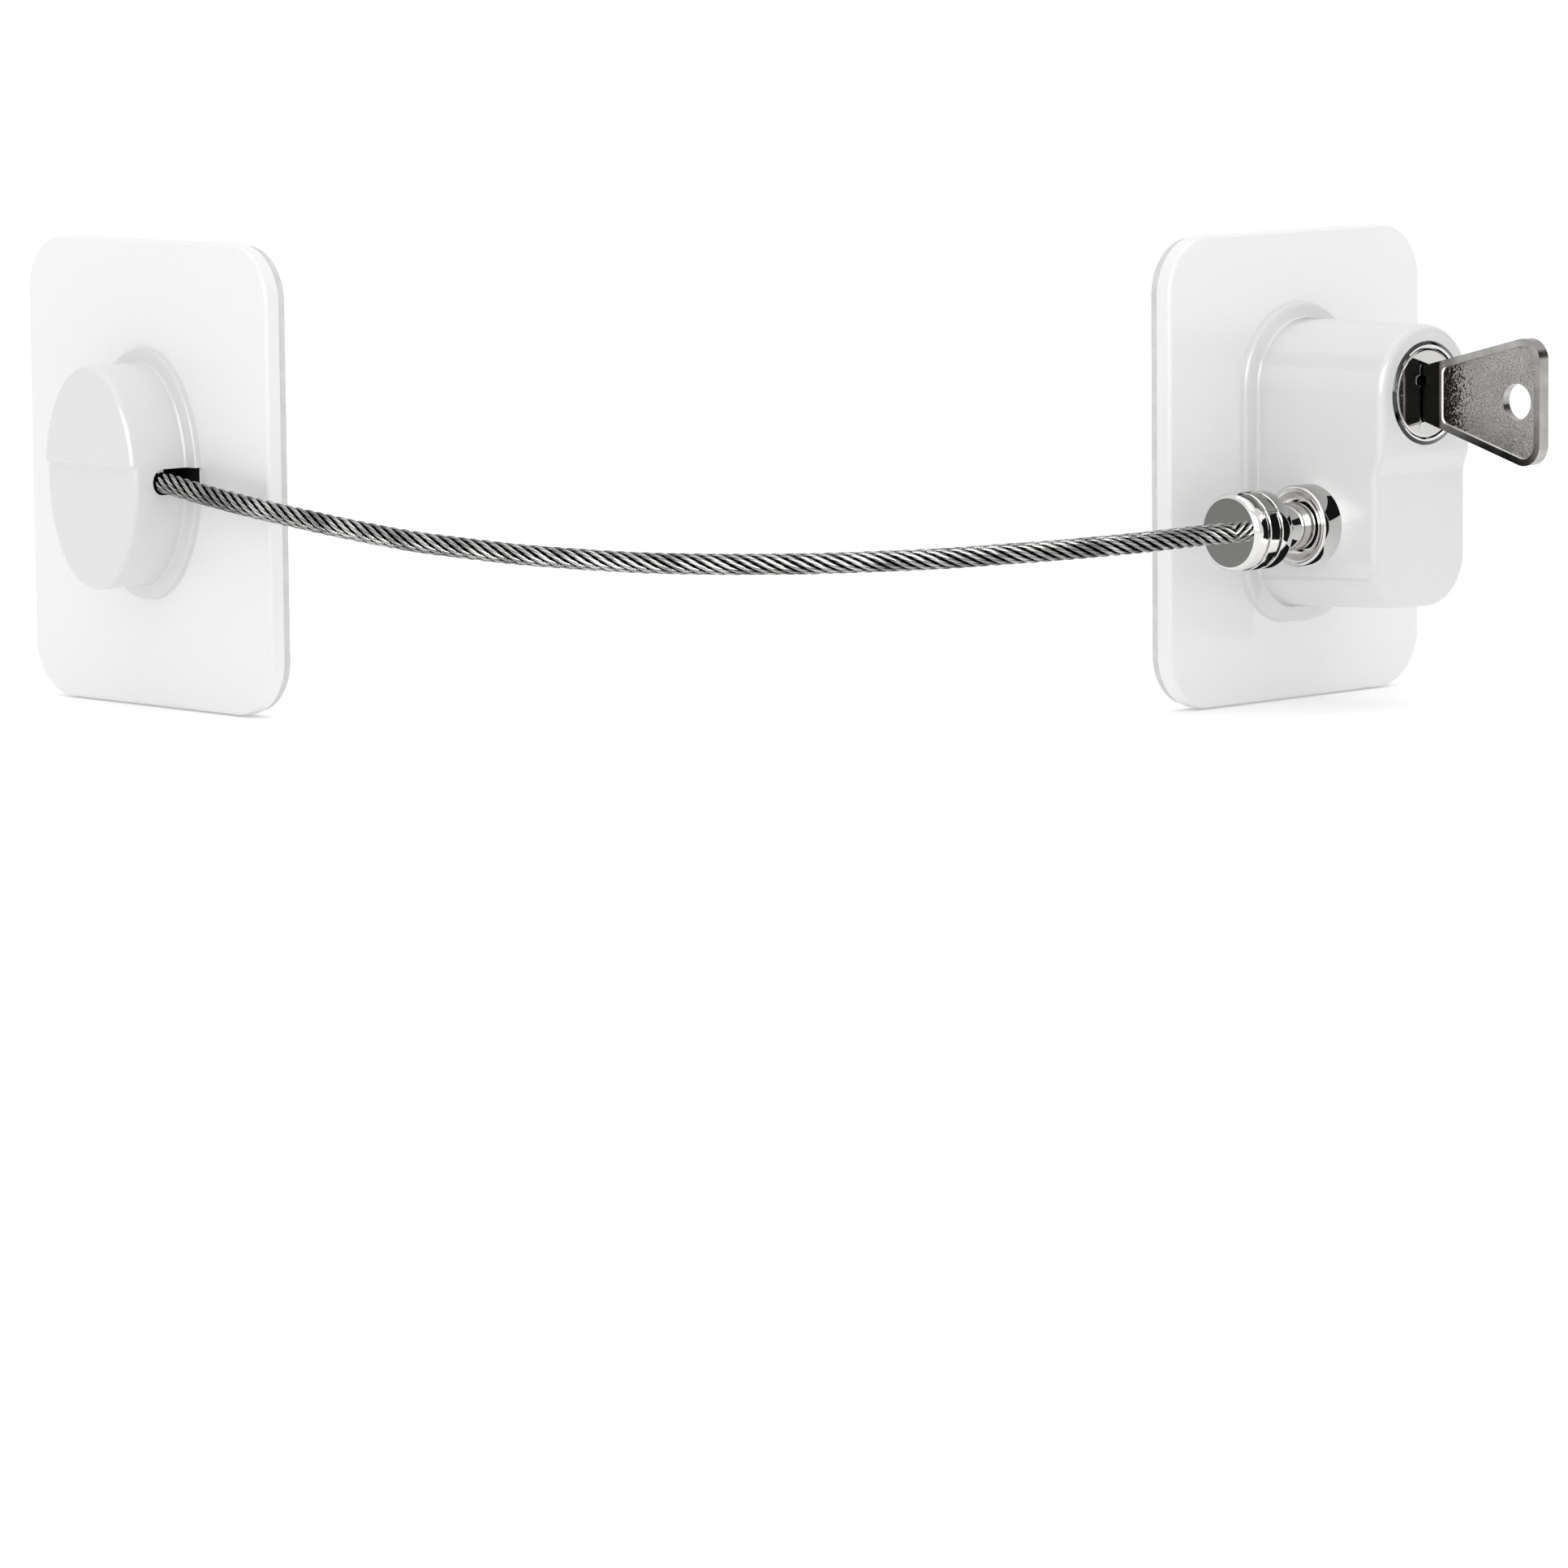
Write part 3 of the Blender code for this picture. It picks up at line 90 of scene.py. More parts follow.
def at_depth(depth):
    """The local Y of a distance outwards from a plate's front face; both ends are built alike."""
    return LOCK_FRONT_Y - depth


# Camera

def make_camera():
    """A long lens on a level with the unit, which sits high in the frame."""
    turn, rise, distance = math.radians(-43.7), math.radians(4.8), 0.983
    aim = Vector((-0.0488, 0.0489, 0))
    focal_px, across_px, up_px = 9739, -74.3, 390.6
    back = Vector((math.sin(turn) * math.cos(rise), -math.cos(turn) * math.cos(rise), math.sin(rise)))
    right = Vector((math.cos(turn), math.sin(turn), 0))
    up = back.cross(right)
    facing = Matrix((right, up, back)).transposed().to_4x4()
    yaw = Matrix.Rotation(math.atan2(across_px, focal_px), 4, "Y")
    pitch = Matrix.Rotation(-math.atan2(up_px, focal_px), 4, "X")
    roll = Matrix.Rotation(math.radians(-0.57), 4, "Z")
    data = bpy.data.cameras.new("camera")
    data.lens = focal_px * 36 / 1932
    data.sensor_width = 36
    data.clip_start, data.clip_end = 0.01, 100
    camera = bpy.data.objects.new("camera", data)
    bpy.context.scene.collection.objects.link(camera)
    camera.matrix_world = Matrix.Translation(aim + back * distance) @ facing @ yaw @ pitch @ roll
    bpy.context.scene.camera = camera


# Node materials

class Nodes:
    """A material's node tree, with its Principled shader's plain values set directly."""

    def __init__(self, name, colour, roughness, metallic=0.0, **plain):
        self.material = bpy.data.materials.new(name)
        self.material.use_nodes = True
        self.tree = self.material.node_tree
        self.shader = self.tree.nodes["Principled BSDF"]
        self.shader.inputs["Base Color"].default_value = (*colour, 1)
        self.shader.inputs["Roughness"].default_value = roughness
        self.shader.inputs["Metallic"].default_value = metallic
        for socket, value in plain.items():
            self.shader.inputs[socket.replace("_", " ")].default_value = value

    def add(self, kind, **settings):
        node = self.tree.nodes.new(kind)
        for name, value in settings.items():
            setattr(node, name, value)
        return node

    def link(self, source, target):
        self.tree.links.new(source, target)

    def place(self, scale=(1, 1, 1)):
        """Coordinates fixed to the piece, stretched by a scale."""
        coordinates = self.add("ShaderNodeTexCoord")
        mapping = self.add("ShaderNodeMapping")
        mapping.inputs["Scale"].default_value = scale
        self.link(coordinates.outputs["Object"], mapping.inputs["Vector"])
        return mapping.outputs["Vector"]

    def noise(self, scale, detail=2.0, stretch=(1, 1, 1), roughness=0.5):
        node = self.add("ShaderNodeTexNoise")
        node.inputs["Scale"].default_value = scale
        node.inputs["Detail"].default_value = detail
        node.inputs["Roughness"].default_value = roughness
        self.link(self.place(stretch), node.inputs["Vector"])
        return node.outputs["Fac"]

    def ramp(self, source, low, high, start=0.3, end=0.7):
        """Grey or colour from low to high as the source goes from start to end."""
        node = self.add("ShaderNodeValToRGB")
        for element, place, value in zip(node.color_ramp.elements, (start, end), (low, high)):
            element.position = place
            element.color = (*value, 1) if isinstance(value, tuple) else (value, value, value, 1)
        self.link(source, node.inputs["Fac"])
        return node.outputs["Color"]

    def bump(self, height, strength, distance, below=None):
        node = self.add("ShaderNodeBump")
        node.inputs["Strength"].default_value = strength
        node.inputs["Distance"].default_value = distance
        self.link(height, node.inputs["Height"])
        if below:
            self.link(below, node.inputs["Normal"])
        return node.outputs["Normal"]

    def along_y(self, start, end):
        """0 to 1 between two places along the piece's own Y."""
        coordinates = self.add("ShaderNodeTexCoord")
        split = self.add("ShaderNodeSeparateXYZ")
        self.link(coordinates.outputs["Object"], split.inputs["Vector"])
        along = self.add("ShaderNodeMapRange")
        along.inputs["From Min"].default_value = start
        along.inputs["From Max"].default_value = end
        self.link(split.outputs["Y"], along.inputs["Value"])
        return along.outputs["Result"]

    def multiply(self, first, second):
        mix = self.add("ShaderNodeMix", data_type="RGBA", blend_type="MULTIPLY")
        mix.inputs["Factor"].default_value = 1.0
        self.link(first, mix.inputs["A"])
        self.link(second, mix.inputs["B"])
        return mix.outputs["Result"]

    def set(self, socket, source):
        self.link(source, self.shader.inputs[socket])


def moulded_plastic(name, tone, shine=0.5):
    """Gloss injection moulding: faint orange peel, and a polish that varies a little."""
    nodes = Nodes(name, (tone, tone, tone), 0.25, IOR=1.49, Specular_IOR_Level=shine)
    nodes.set("Base Color", nodes.ramp(nodes.noise(45, 2), tone - 0.003, tone + 0.003, 0.2, 0.8))
    nodes.set("Roughness", nodes.ramp(nodes.noise(140, 2), 0.22, 0.27, 0.2, 0.8))
    nodes.set("Normal", nodes.bump(nodes.noise(700, 2), 0.03, 0.00003))
    return nodes.material


def adhesive_foam():
    """Closed-cell foam tape, with its cells showing along the cut edge."""
    nodes = Nodes("adhesive_foam_look", (0.62, 0.62, 0.61), 0.7)
    cells = nodes.add("ShaderNodeTexVoronoi")
    cells.inputs["Scale"].default_value = 3500
    nodes.link(nodes.place(), cells.inputs["Vector"])
    nodes.set("Base Color", nodes.ramp(nodes.noise(400, 3), (0.58, 0.58, 0.575), (0.66, 0.66, 0.655)))
    nodes.set("Normal", nodes.bump(cells.outputs["Distance"], 0.35, 0.0001))
    return nodes.material


def chrome(name, tint, low, high, grain=(1, 1, 1), grain_bump=0.015):
    """Polished plate with a faint haze and fine polishing lines."""
    nodes = Nodes(name, tint, (low + high) / 2, 1.0)
    nodes.set("Roughness", nodes.ramp(nodes.noise(350, 4), low, high))
    nodes.set("Normal", nodes.bump(nodes.noise(1500, 2, grain), grain_bump, 0.00003))
    return nodes.material


def turned_chrome(name, tint):
    """Plated metal with the fine rings that a lathe leaves, round its own X axis."""
    nodes = Nodes(name, tint, 0.12, 1.0)
    coordinates = nodes.add("ShaderNodeTexCoord")
    split = nodes.add("ShaderNodeSeparateXYZ")
    nodes.link(coordinates.outputs["Object"], split.inputs["Vector"])
    flat = nodes.add("ShaderNodeCombineXYZ")
    nodes.link(split.outputs["Y"], flat.inputs["Y"])
    nodes.link(split.outputs["Z"], flat.inputs["Z"])
    radius = nodes.add("ShaderNodeVectorMath", operation="LENGTH")
    nodes.link(flat.outputs["Vector"], radius.inputs[0])
    rings = nodes.add("ShaderNodeMath", operation="MULTIPLY")
    nodes.link(radius.outputs["Value"], rings.inputs[0])
    rings.inputs[1].default_value = 2 * math.pi / 0.00022
    wave = nodes.add("ShaderNodeMath", operation="SINE")
    nodes.link(rings.outputs["Value"], wave.inputs[0])
    nodes.set("Roughness", nodes.ramp(nodes.noise(400, 3), 0.08, 0.18))
    nodes.set("Normal", nodes.bump(wave.outputs["Value"], 0.10, 0.00001))
    return nodes.material


def blasted_nickel():
    """The key's sand-blasted panel: a coarse glittering grain with scattered black pits, and painted shade
    that turns its narrow end mottled black.
    """
    nodes = Nodes("blasted_nickel_look", (0.42, 0.40, 0.38), 0.42, 1.0)
    cloudy = nodes.ramp(nodes.noise(130, 4), (0.34, 0.325, 0.31), (0.50, 0.485, 0.465), 0.3, 0.7)
    grain = nodes.ramp(nodes.noise(4800, 2), (0.60, 0.60, 0.60), (1.1, 1.1, 1.1), 0.36, 0.62)
    speckled = nodes.multiply(cloudy, grain)
    pits = nodes.noise(3000, 3, roughness=0.65)
    # Painted shade: close to the neck the pit mask drops, so the narrow end goes mottled black.
    pits_and_painted_shade = nodes.add("ShaderNodeMath", operation="MULTIPLY_ADD")
    near_neck = nodes.along_y(at_depth(PANEL_START_DEPTH + 5.5 * MM), at_depth(PANEL_START_DEPTH))
    nodes.link(near_neck, pits_and_painted_shade.inputs[0])
    pits_and_painted_shade.inputs[1].default_value = -0.40
    nodes.link(pits, pits_and_painted_shade.inputs[2])
    free_of_pits_and_shade = nodes.ramp(pits_and_painted_shade.outputs["Value"], (0.03, 0.03, 0.03), (1.0, 1.0, 1.0), 0.22, 0.36)
    nodes.set("Base Color", nodes.multiply(speckled, free_of_pits_and_shade))
    nodes.set("Roughness", nodes.ramp(nodes.noise(900, 3), 0.38, 0.52))
    nodes.set("Normal", nodes.bump(nodes.noise(2600, 3), 0.7, 0.00008))
    return nodes.material


def key_nickel():
    """Polished nickel, with painted shade and dark reflection: black on the neck by the lock's face."""
    nodes = Nodes("key_nickel_look", (0.40, 0.39, 0.375), 0.2, 1.0)
    fade = 0.6 * MM
    # Painted shade and dark reflection: the base colour goes black on the neck, between the lock's face and
    # the panel.
    beyond_face = nodes.along_y(at_depth(HOUSING_DEPTH - fade), at_depth(HOUSING_DEPTH))
    before_panel = nodes.along_y(at_depth(NECK_END_DEPTH + fade), at_depth(NECK_END_DEPTH))
    neck = nodes.ramp(nodes.multiply(beyond_face, before_panel), 1.0, 0.03, 0.0, 1.0)
    rubbed = nodes.ramp(nodes.noise(300, 4), (0.30, 0.29, 0.28), (0.46, 0.45, 0.43))
    nodes.set("Base Color", nodes.multiply(rubbed, neck))
    nodes.set("Roughness", nodes.ramp(nodes.noise(350, 4), 0.16, 0.26))
    nodes.set("Normal", nodes.bump(nodes.noise(1500, 2, (1, 8, 8)), 0.05, 0.00003))
    return nodes.material


def worked_metal(name, dark, light, roughness, stretch):
    """Plated or stamped metal with a directional grain."""
    nodes = Nodes(name, light, roughness, 1.0)
    nodes.set("Base Color", nodes.ramp(nodes.noise(500, 4, stretch), dark, light))
    nodes.set("Roughness", nodes.ramp(nodes.noise(700, 3, stretch), roughness - 0.08, roughness + 0.1))
    nodes.set("Normal", nodes.bump(nodes.noise(1800, 2, stretch), 0.12, 0.00004))
    return nodes.material


def black_rubber():
    nodes = Nodes("rubber_look", (0.02, 0.02, 0.02), 0.75)
    nodes.set("Base Color", nodes.ramp(nodes.noise(500, 4), (0.012, 0.012, 0.012), (0.035, 0.035, 0.035)))
    nodes.set("Normal", nodes.bump(nodes.noise(1600, 3), 0.2, 0.00005))
    return nodes.material


def stranded_wire():
    """Drawn stainless wire, with painted shade: near black between the wires and strands and down their
    sides, bright only along the crests.
    """
    nodes = Nodes("stranded_wire_look", (0.5, 0.5, 0.5), 0.15, 1.0)
    shade = nodes.add("ShaderNodeAttribute", attribute_name="painted_groove_shade")
    # Painted shade and highlight: the ramp leaves only the wires' crests bright and turns the rest near
    # black.
    depth = nodes.ramp(shade.outputs["Fac"], (0.006, 0.006, 0.006), (0.95, 0.95, 0.94), 0.48, 0.93)
    patches = nodes.ramp(nodes.noise(220, 3), (0.35, 0.35, 0.35), (1, 1, 1), 0.35, 0.65)
    nodes.set("Base Color", nodes.multiply(depth, patches))
    nodes.set("Roughness", nodes.ramp(nodes.noise(900, 3), 0.10, 0.22))
    return nodes.material


def studio_floor():
    nodes = Nodes("studio_floor_look", (0.9, 0.9, 0.9), 0.8, Specular_IOR_Level=0.0,
                  Emission_Color=(1, 1, 1, 1), Emission_Strength=0.18)
    nodes.set("Base Color", nodes.ramp(nodes.noise(3, 3), (0.895, 0.895, 0.895), (0.91, 0.91, 0.91)))
    return nodes.material


HOUSING_DEPTH = 21.35 * MM
PANEL_START_DEPTH = 24.5 * MM
NECK_END_DEPTH = 24.0 * MM

LOOKS = {
    # The plates' white plastic, and a darker copy of the same white for the housing and cover: painted
    # shade.
    "plate_plastic": moulded_plastic("plate_plastic_look", 0.83),
    "plastic": moulded_plastic("plastic_look", 0.70),
    "foam": adhesive_foam(),
    "chrome": chrome("chrome_look", (0.72, 0.715, 0.705), 0.03, 0.07),
    "face_chrome": chrome("face_chrome_look", (0.56, 0.555, 0.55), 0.02, 0.04, grain_bump=0.004),
    # Painted dark reflection: near-black metal for the lock rim's outer ring and the key's edges.
    "painted_dark_reflection": chrome("painted_dark_reflection_look", (0.06, 0.06, 0.06), 0.10, 0.18),
    # Painted highlight: pale rough metal for the sloped faces of the keyway mouth on the rotor face.
    "painted_mouth_highlight": worked_metal("painted_mouth_highlight_look", (0.80, 0.80, 0.79), (0.95, 0.95, 0.94), 0.55, (1, 1, 1)),
    "slot_shade": moulded_plastic("slot_shade_look", 0.012, 0.0),
    # Painted highlight: a near-white copy of the key's metal for the slopes round its panels.
    "painted_panel_highlight": chrome("painted_panel_highlight_look", (0.95, 0.94, 0.92), 0.25, 0.40),
    "turned": turned_chrome("turned_chrome_look", (0.66, 0.65, 0.64)),
    "nickel": key_nickel(),
    "blasted": blasted_nickel(),
    "steel": worked_metal("steel_look", (0.36, 0.36, 0.37), (0.50, 0.50, 0.50), 0.30, (1, 1, 6)),
    "brass": worked_metal("brass_look", (0.62, 0.46, 0.20), (0.76, 0.60, 0.30), 0.28, (6, 1, 1)),
    "rubber": black_rubber(),
    "wire": stranded_wire(),
    "floor": studio_floor(),
}
SLOT_LOOKS = {"white_plastic": "plastic", "adhesive_foam": "foam", "chrome": "chrome", "steel": "steel",
              "nickel": "nickel", "brass": "brass", "rubber": "rubber", "wire_rope": "wire"}


# Outlines: closed loops of (x, z) points, anticlockwise

def arc(centre_x, centre_z, radius, start, end, steps):
    angles = [math.radians(start + (end - start) * step / steps) for step in range(steps + 1)]
    return [(centre_x + radius * math.cos(angle), centre_z + radius * math.sin(angle)) for angle in angles]


def rounded_rectangle(width, height, corner, steps=16):
    right, top = width / 2 - corner, height / 2 - corner
    corners = ((right, top, 0), (-right, top, 90), (-right, -top, 180), (right, -top, 270))
    return [point for x, z, start in corners for point in arc(x, z, corner, start, start + 90, steps)]


def ellipse(half_width, half_height, steps=128):
    turns = [2 * math.pi * step / steps for step in range(steps)]
    return [(half_width * math.cos(turn), half_height * math.sin(turn)) for turn in turns]


def arch(half_width, bottom_z, corner, grow, top_steps=64, corner_steps=20):
    half, low, radius = half_width + grow, bottom_z - grow, corner + grow
    side = half - radius
    return (arc(0, CYLINDER_AXIS.z, half, 0, 180, top_steps)
            + arc(-side, low + radius, radius, 180, 270, corner_steps)
            + arc(side, low + radius, radius, 270, 360, corner_steps))


def rounded_corners(corners, steps=8):
    """A polygon from (x, z, radius) corners, each with a nonzero radius turned into an arc."""
    points = []
    for index, (x, z, radius) in enumerate(corners):
        here = Vector((x, z))
        if radius == 0:
            points.append((x, z))
            continue
        before = (Vector(corners[index - 1][:2]) - here).normalized()
        after = (Vector(corners[(index + 1) % len(corners)][:2]) - here).normalized()
        half_angle = before.angle(after) / 2
        reach = radius / math.tan(half_angle)
        centre = here + (before + after).normalized() * (radius / math.sin(half_angle))
        first, last = here + before * reach - centre, here + after * reach - centre
        turn = first.angle_signed(last)
        for step in range(steps + 1):
            points.append(tuple(centre + Matrix.Rotation(-turn * step / steps, 2) @ first))
    return points


def quarter(depth, radius, steps=8):
    """Depth and inset of each ring of a rounded front edge."""
    angles = [math.pi / 2 * step / steps for step in range(steps + 1)]
    return [(depth - radius + radius * math.sin(angle), -radius * (1 - math.cos(angle))) for angle in angles]


# Meshes

def piece(name, mesh_builder, body, replaced, looks, place=Matrix.Identity(4), sharp=30):
    """A shown piece from a bmesh: outward faces, smooth shading, its body and the CAD nodes it replaces."""
    bmesh.ops.recalc_face_normals(mesh_builder, faces=mesh_builder.faces)
    mesh = bpy.data.meshes.new(name)
    mesh_builder.to_mesh(mesh)
    mesh_builder.free()
    for look in looks:
        mesh.materials.append(LOOKS[look])
    made = bpy.data.objects.new(name, mesh)
    bpy.context.scene.collection.objects.link(made)
    made.matrix_world = place
    soften(made, sharp)
    if body:
        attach(made, body)
        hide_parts(*replaced)
    return made


def soften(made, sharp=30):
    made.data.shade_smooth()
    made.data.set_sharp_from_angle(angle=math.radians(sharp))


def loft(stations, axis="Y"):
    mesh_builder = bmesh.new()
    rings = []
    for distance, outline in stations:
        if axis == "Y":
            rings.append([mesh_builder.verts.new((x, distance, z)) for x, z in outline])
        else:
            rings.append([mesh_builder.verts.new((distance, x, z)) for x, z in outline])
    count = len(rings[0])
    for low, high in zip(rings, rings[1:]):
        for index in range(count):
            following = (index + 1) % count
            mesh_builder.faces.new((low[index], low[following], high[following], high[index]))
    mesh_builder.faces.new(rings[0])
    mesh_builder.faces.new(rings[-1])
    return mesh_builder


def turned(profile, steps=96, axis="X"):
    """A closed bmesh from a loop of (along, radius) points, spun round the axis; radius 0 closes on it."""
    mesh_builder = bmesh.new()
    edge_points = [mesh_builder.verts.new((along, 0, radius) if axis == "X" else (0, along, radius))
                   for along, radius in profile]
    pairs = list(zip(edge_points, edge_points[1:]))
    if profile[0][1] > 0:
        pairs.append((edge_points[-1], edge_points[0]))
    edges = [mesh_builder.edges.new(pair) for pair in pairs]
    bmesh.ops.spin(mesh_builder, geom=edges, cent=(0, 0, 0), axis=(1, 0, 0) if axis == "X" else (0, 1, 0),
                   angle=2 * math.pi, steps=steps, use_merge=True)
    bmesh.ops.remove_doubles(mesh_builder, verts=mesh_builder.verts, dist=1e-7)
    return mesh_builder


def block(low, high):
    mesh_builder = bmesh.new()
    bmesh.ops.create_cube(mesh_builder, size=1.0)
    bmesh.ops.scale(mesh_builder, vec=Vector(high) - Vector(low), verts=mesh_builder.verts)
    bmesh.ops.translate(mesh_builder, vec=(Vector(high) + Vector(low)) / 2, verts=mesh_builder.verts)
    return mesh_builder


def rod(radius, start, end, steps=96, axis="Y"):
    return turned([(start, 0), (start, radius), (end, radius), (end, 0)], steps, axis)


def combine(target, mesh_builder, operation="DIFFERENCE", place=(0, 0, 0), sharp=30):
    """Cut a shape out of a piece, or join one to it, in the piece's own coordinates."""
    bmesh.ops.recalc_face_normals(mesh_builder, faces=mesh_builder.faces)
    mesh = bpy.data.meshes.new("tool")
    mesh_builder.to_mesh(mesh)
    mesh_builder.free()
    mesh.materials.append(target.data.materials[0])
    tool = bpy.data.objects.new("tool", mesh)
    bpy.context.scene.collection.objects.link(tool)
    tool.matrix_world = target.matrix_world @ Matrix.Translation(place)
    change = target.modifiers.new("change", "BOOLEAN")
    change.operation, change.solver, change.object = operation, "EXACT", tool
    bpy.context.view_layer.update()
    result = bpy.data.meshes.new_from_object(target.evaluated_get(bpy.context.evaluated_depsgraph_get()))
    target.modifiers.remove(change)
    bpy.data.objects.remove(tool)
    result.name = target.name
    target.data = result
    soften(target, sharp)


def even_shading(made):
    """Big flat faces keep their own normal beside small rounded ones."""
    weigh = made.modifiers.new("even_shading", "WEIGHTED_NORMAL")
    weigh.keep_sharp = True


def blend_step(mesh_builder, levels, drop_at, from_y):
    """Slice the front at each level, then sink everything further out than from_y by drop_at(z)."""
    for level in levels:
        everything = mesh_builder.verts[:] + mesh_builder.edges[:] + mesh_builder.faces[:]
        bmesh.ops.bisect_plane(mesh_builder, geom=everything, dist=1e-7, plane_co=(0, 0, level),
                               plane_no=(0, 0, 1))
    for vertex in mesh_builder.verts:
        if vertex.co.y < from_y:
            vertex.co.y += drop_at(vertex.co.z)


def ramp_between(high, low, ease):
    """A function of z, 0 above high and 1 below low, with its two corners eased over a short length."""
    def straight(z):
        return min(1.0, max(0.0, (high - z) / (high - low)))

    def share(z):
        samples = [straight(z + ease * offset) for offset in (-1, -0.5, 0, 0.5, 1)]
        return sum(samples) / len(samples)
    return share


# Base plates and pads

def plate_and_pad(end, place):
    width, height, corner, edge = 46 * MM, 58 * MM, 7 * MM, 0.55 * MM
    low, high = LOCK_BACK_Y, LOCK_FRONT_Y

    def outline(inset):
        return rounded_rectangle(width + 2 * inset, height + 2 * inset, corner + inset)

    rings = [(low, outline(-0.1 * MM)), (low - 0.1 * MM, outline(0))]
    rings += [(at_depth(depth), outline(inset)) for depth, inset in quarter(0, edge)]
    plate = piece(f"{end}_plate_skin", loft(rings), end, [f"{end}_base_plate"], ["plate_plastic"],
                  place)
    even_shading(plate)
    inset = -0.25 * MM
    pad_rings = [(0, outline(inset - 0.05 * MM)), (-0.08 * MM, outline(inset)),
                 (low + 0.08 * MM, outline(inset)), (low - 0.02 * MM, outline(inset - 0.05 * MM))]
    piece(f"{end}_pad_skin", loft(pad_rings), end, [f"{end}_adhesive_pad"], ["foam"], place)


# Lock

HOUSING_STEP = 0.85 * MM
HOUSING_WALL = 1.35 * MM
CAVITY_DEPTH = 18.7 * MM


def lock_housing():
    def outline(depth, grow):
        lower = 1.0 * MM * (1 - depth / HOUSING_DEPTH)
        return arch(8.35 * MM, -16.4 * MM - lower, 6.3 * MM, grow)

    rings = [(-0.03 * MM, 2.0 * MM), (0.50 * MM, 1.9 * MM), (0.66 * MM, 1.84 * MM), (0.80 * MM, 1.72 * MM),
             (0.90 * MM, 1.55 * MM), (1.02 * MM, 1.0 * MM), (1.12 * MM, 0.45 * MM), (1.22 * MM, 0.2 * MM),
             (1.40 * MM, 0.06 * MM), (1.65 * MM, 0)]
    rings += quarter(HOUSING_DEPTH, 1.0 * MM)
    shape = loft([(at_depth(depth), outline(depth, grow)) for depth, grow in rings])
    high, low, ease = 2.45 * MM, 0.30 * MM, 0.35 * MM
    share = ramp_between(high, low, ease)
    offsets = (-1.2, -1, -0.75, -0.5, -0.25, 0, 0.25, 0.5, 0.75, 1, 1.2)
    levels = [edge + ease * offset for edge in (high, low) for offset in offsets]
    blend_step(shape, levels, lambda z: HOUSING_STEP * share(z), at_depth(CAVITY_DEPTH))
    housing = piece("housing_skin", shape, "lock", ["lock_housing"], ["plastic"])
    inner = arch(8.35 * MM, -16.4 * MM, 6.3 * MM, -HOUSING_WALL, 32, 10)
    combine(housing, loft([(at_depth(-1 * MM), inner), (at_depth(CAVITY_DEPTH), inner)]))
    combine(housing, rod(6.36 * MM, at_depth(CAVITY_DEPTH - 1 * MM), at_depth(HOUSING_DEPTH + 1 * MM)),
            place=CYLINDER_AXIS)
    combine(housing, rod(4.1 * MM, -9.5 * MM, -6 * MM, axis="X"), place=SOCKET_AXIS)
    even_shading(housing)
    # The studio's wall card stands in for the housing in reflections
    housing.visible_glossy = False


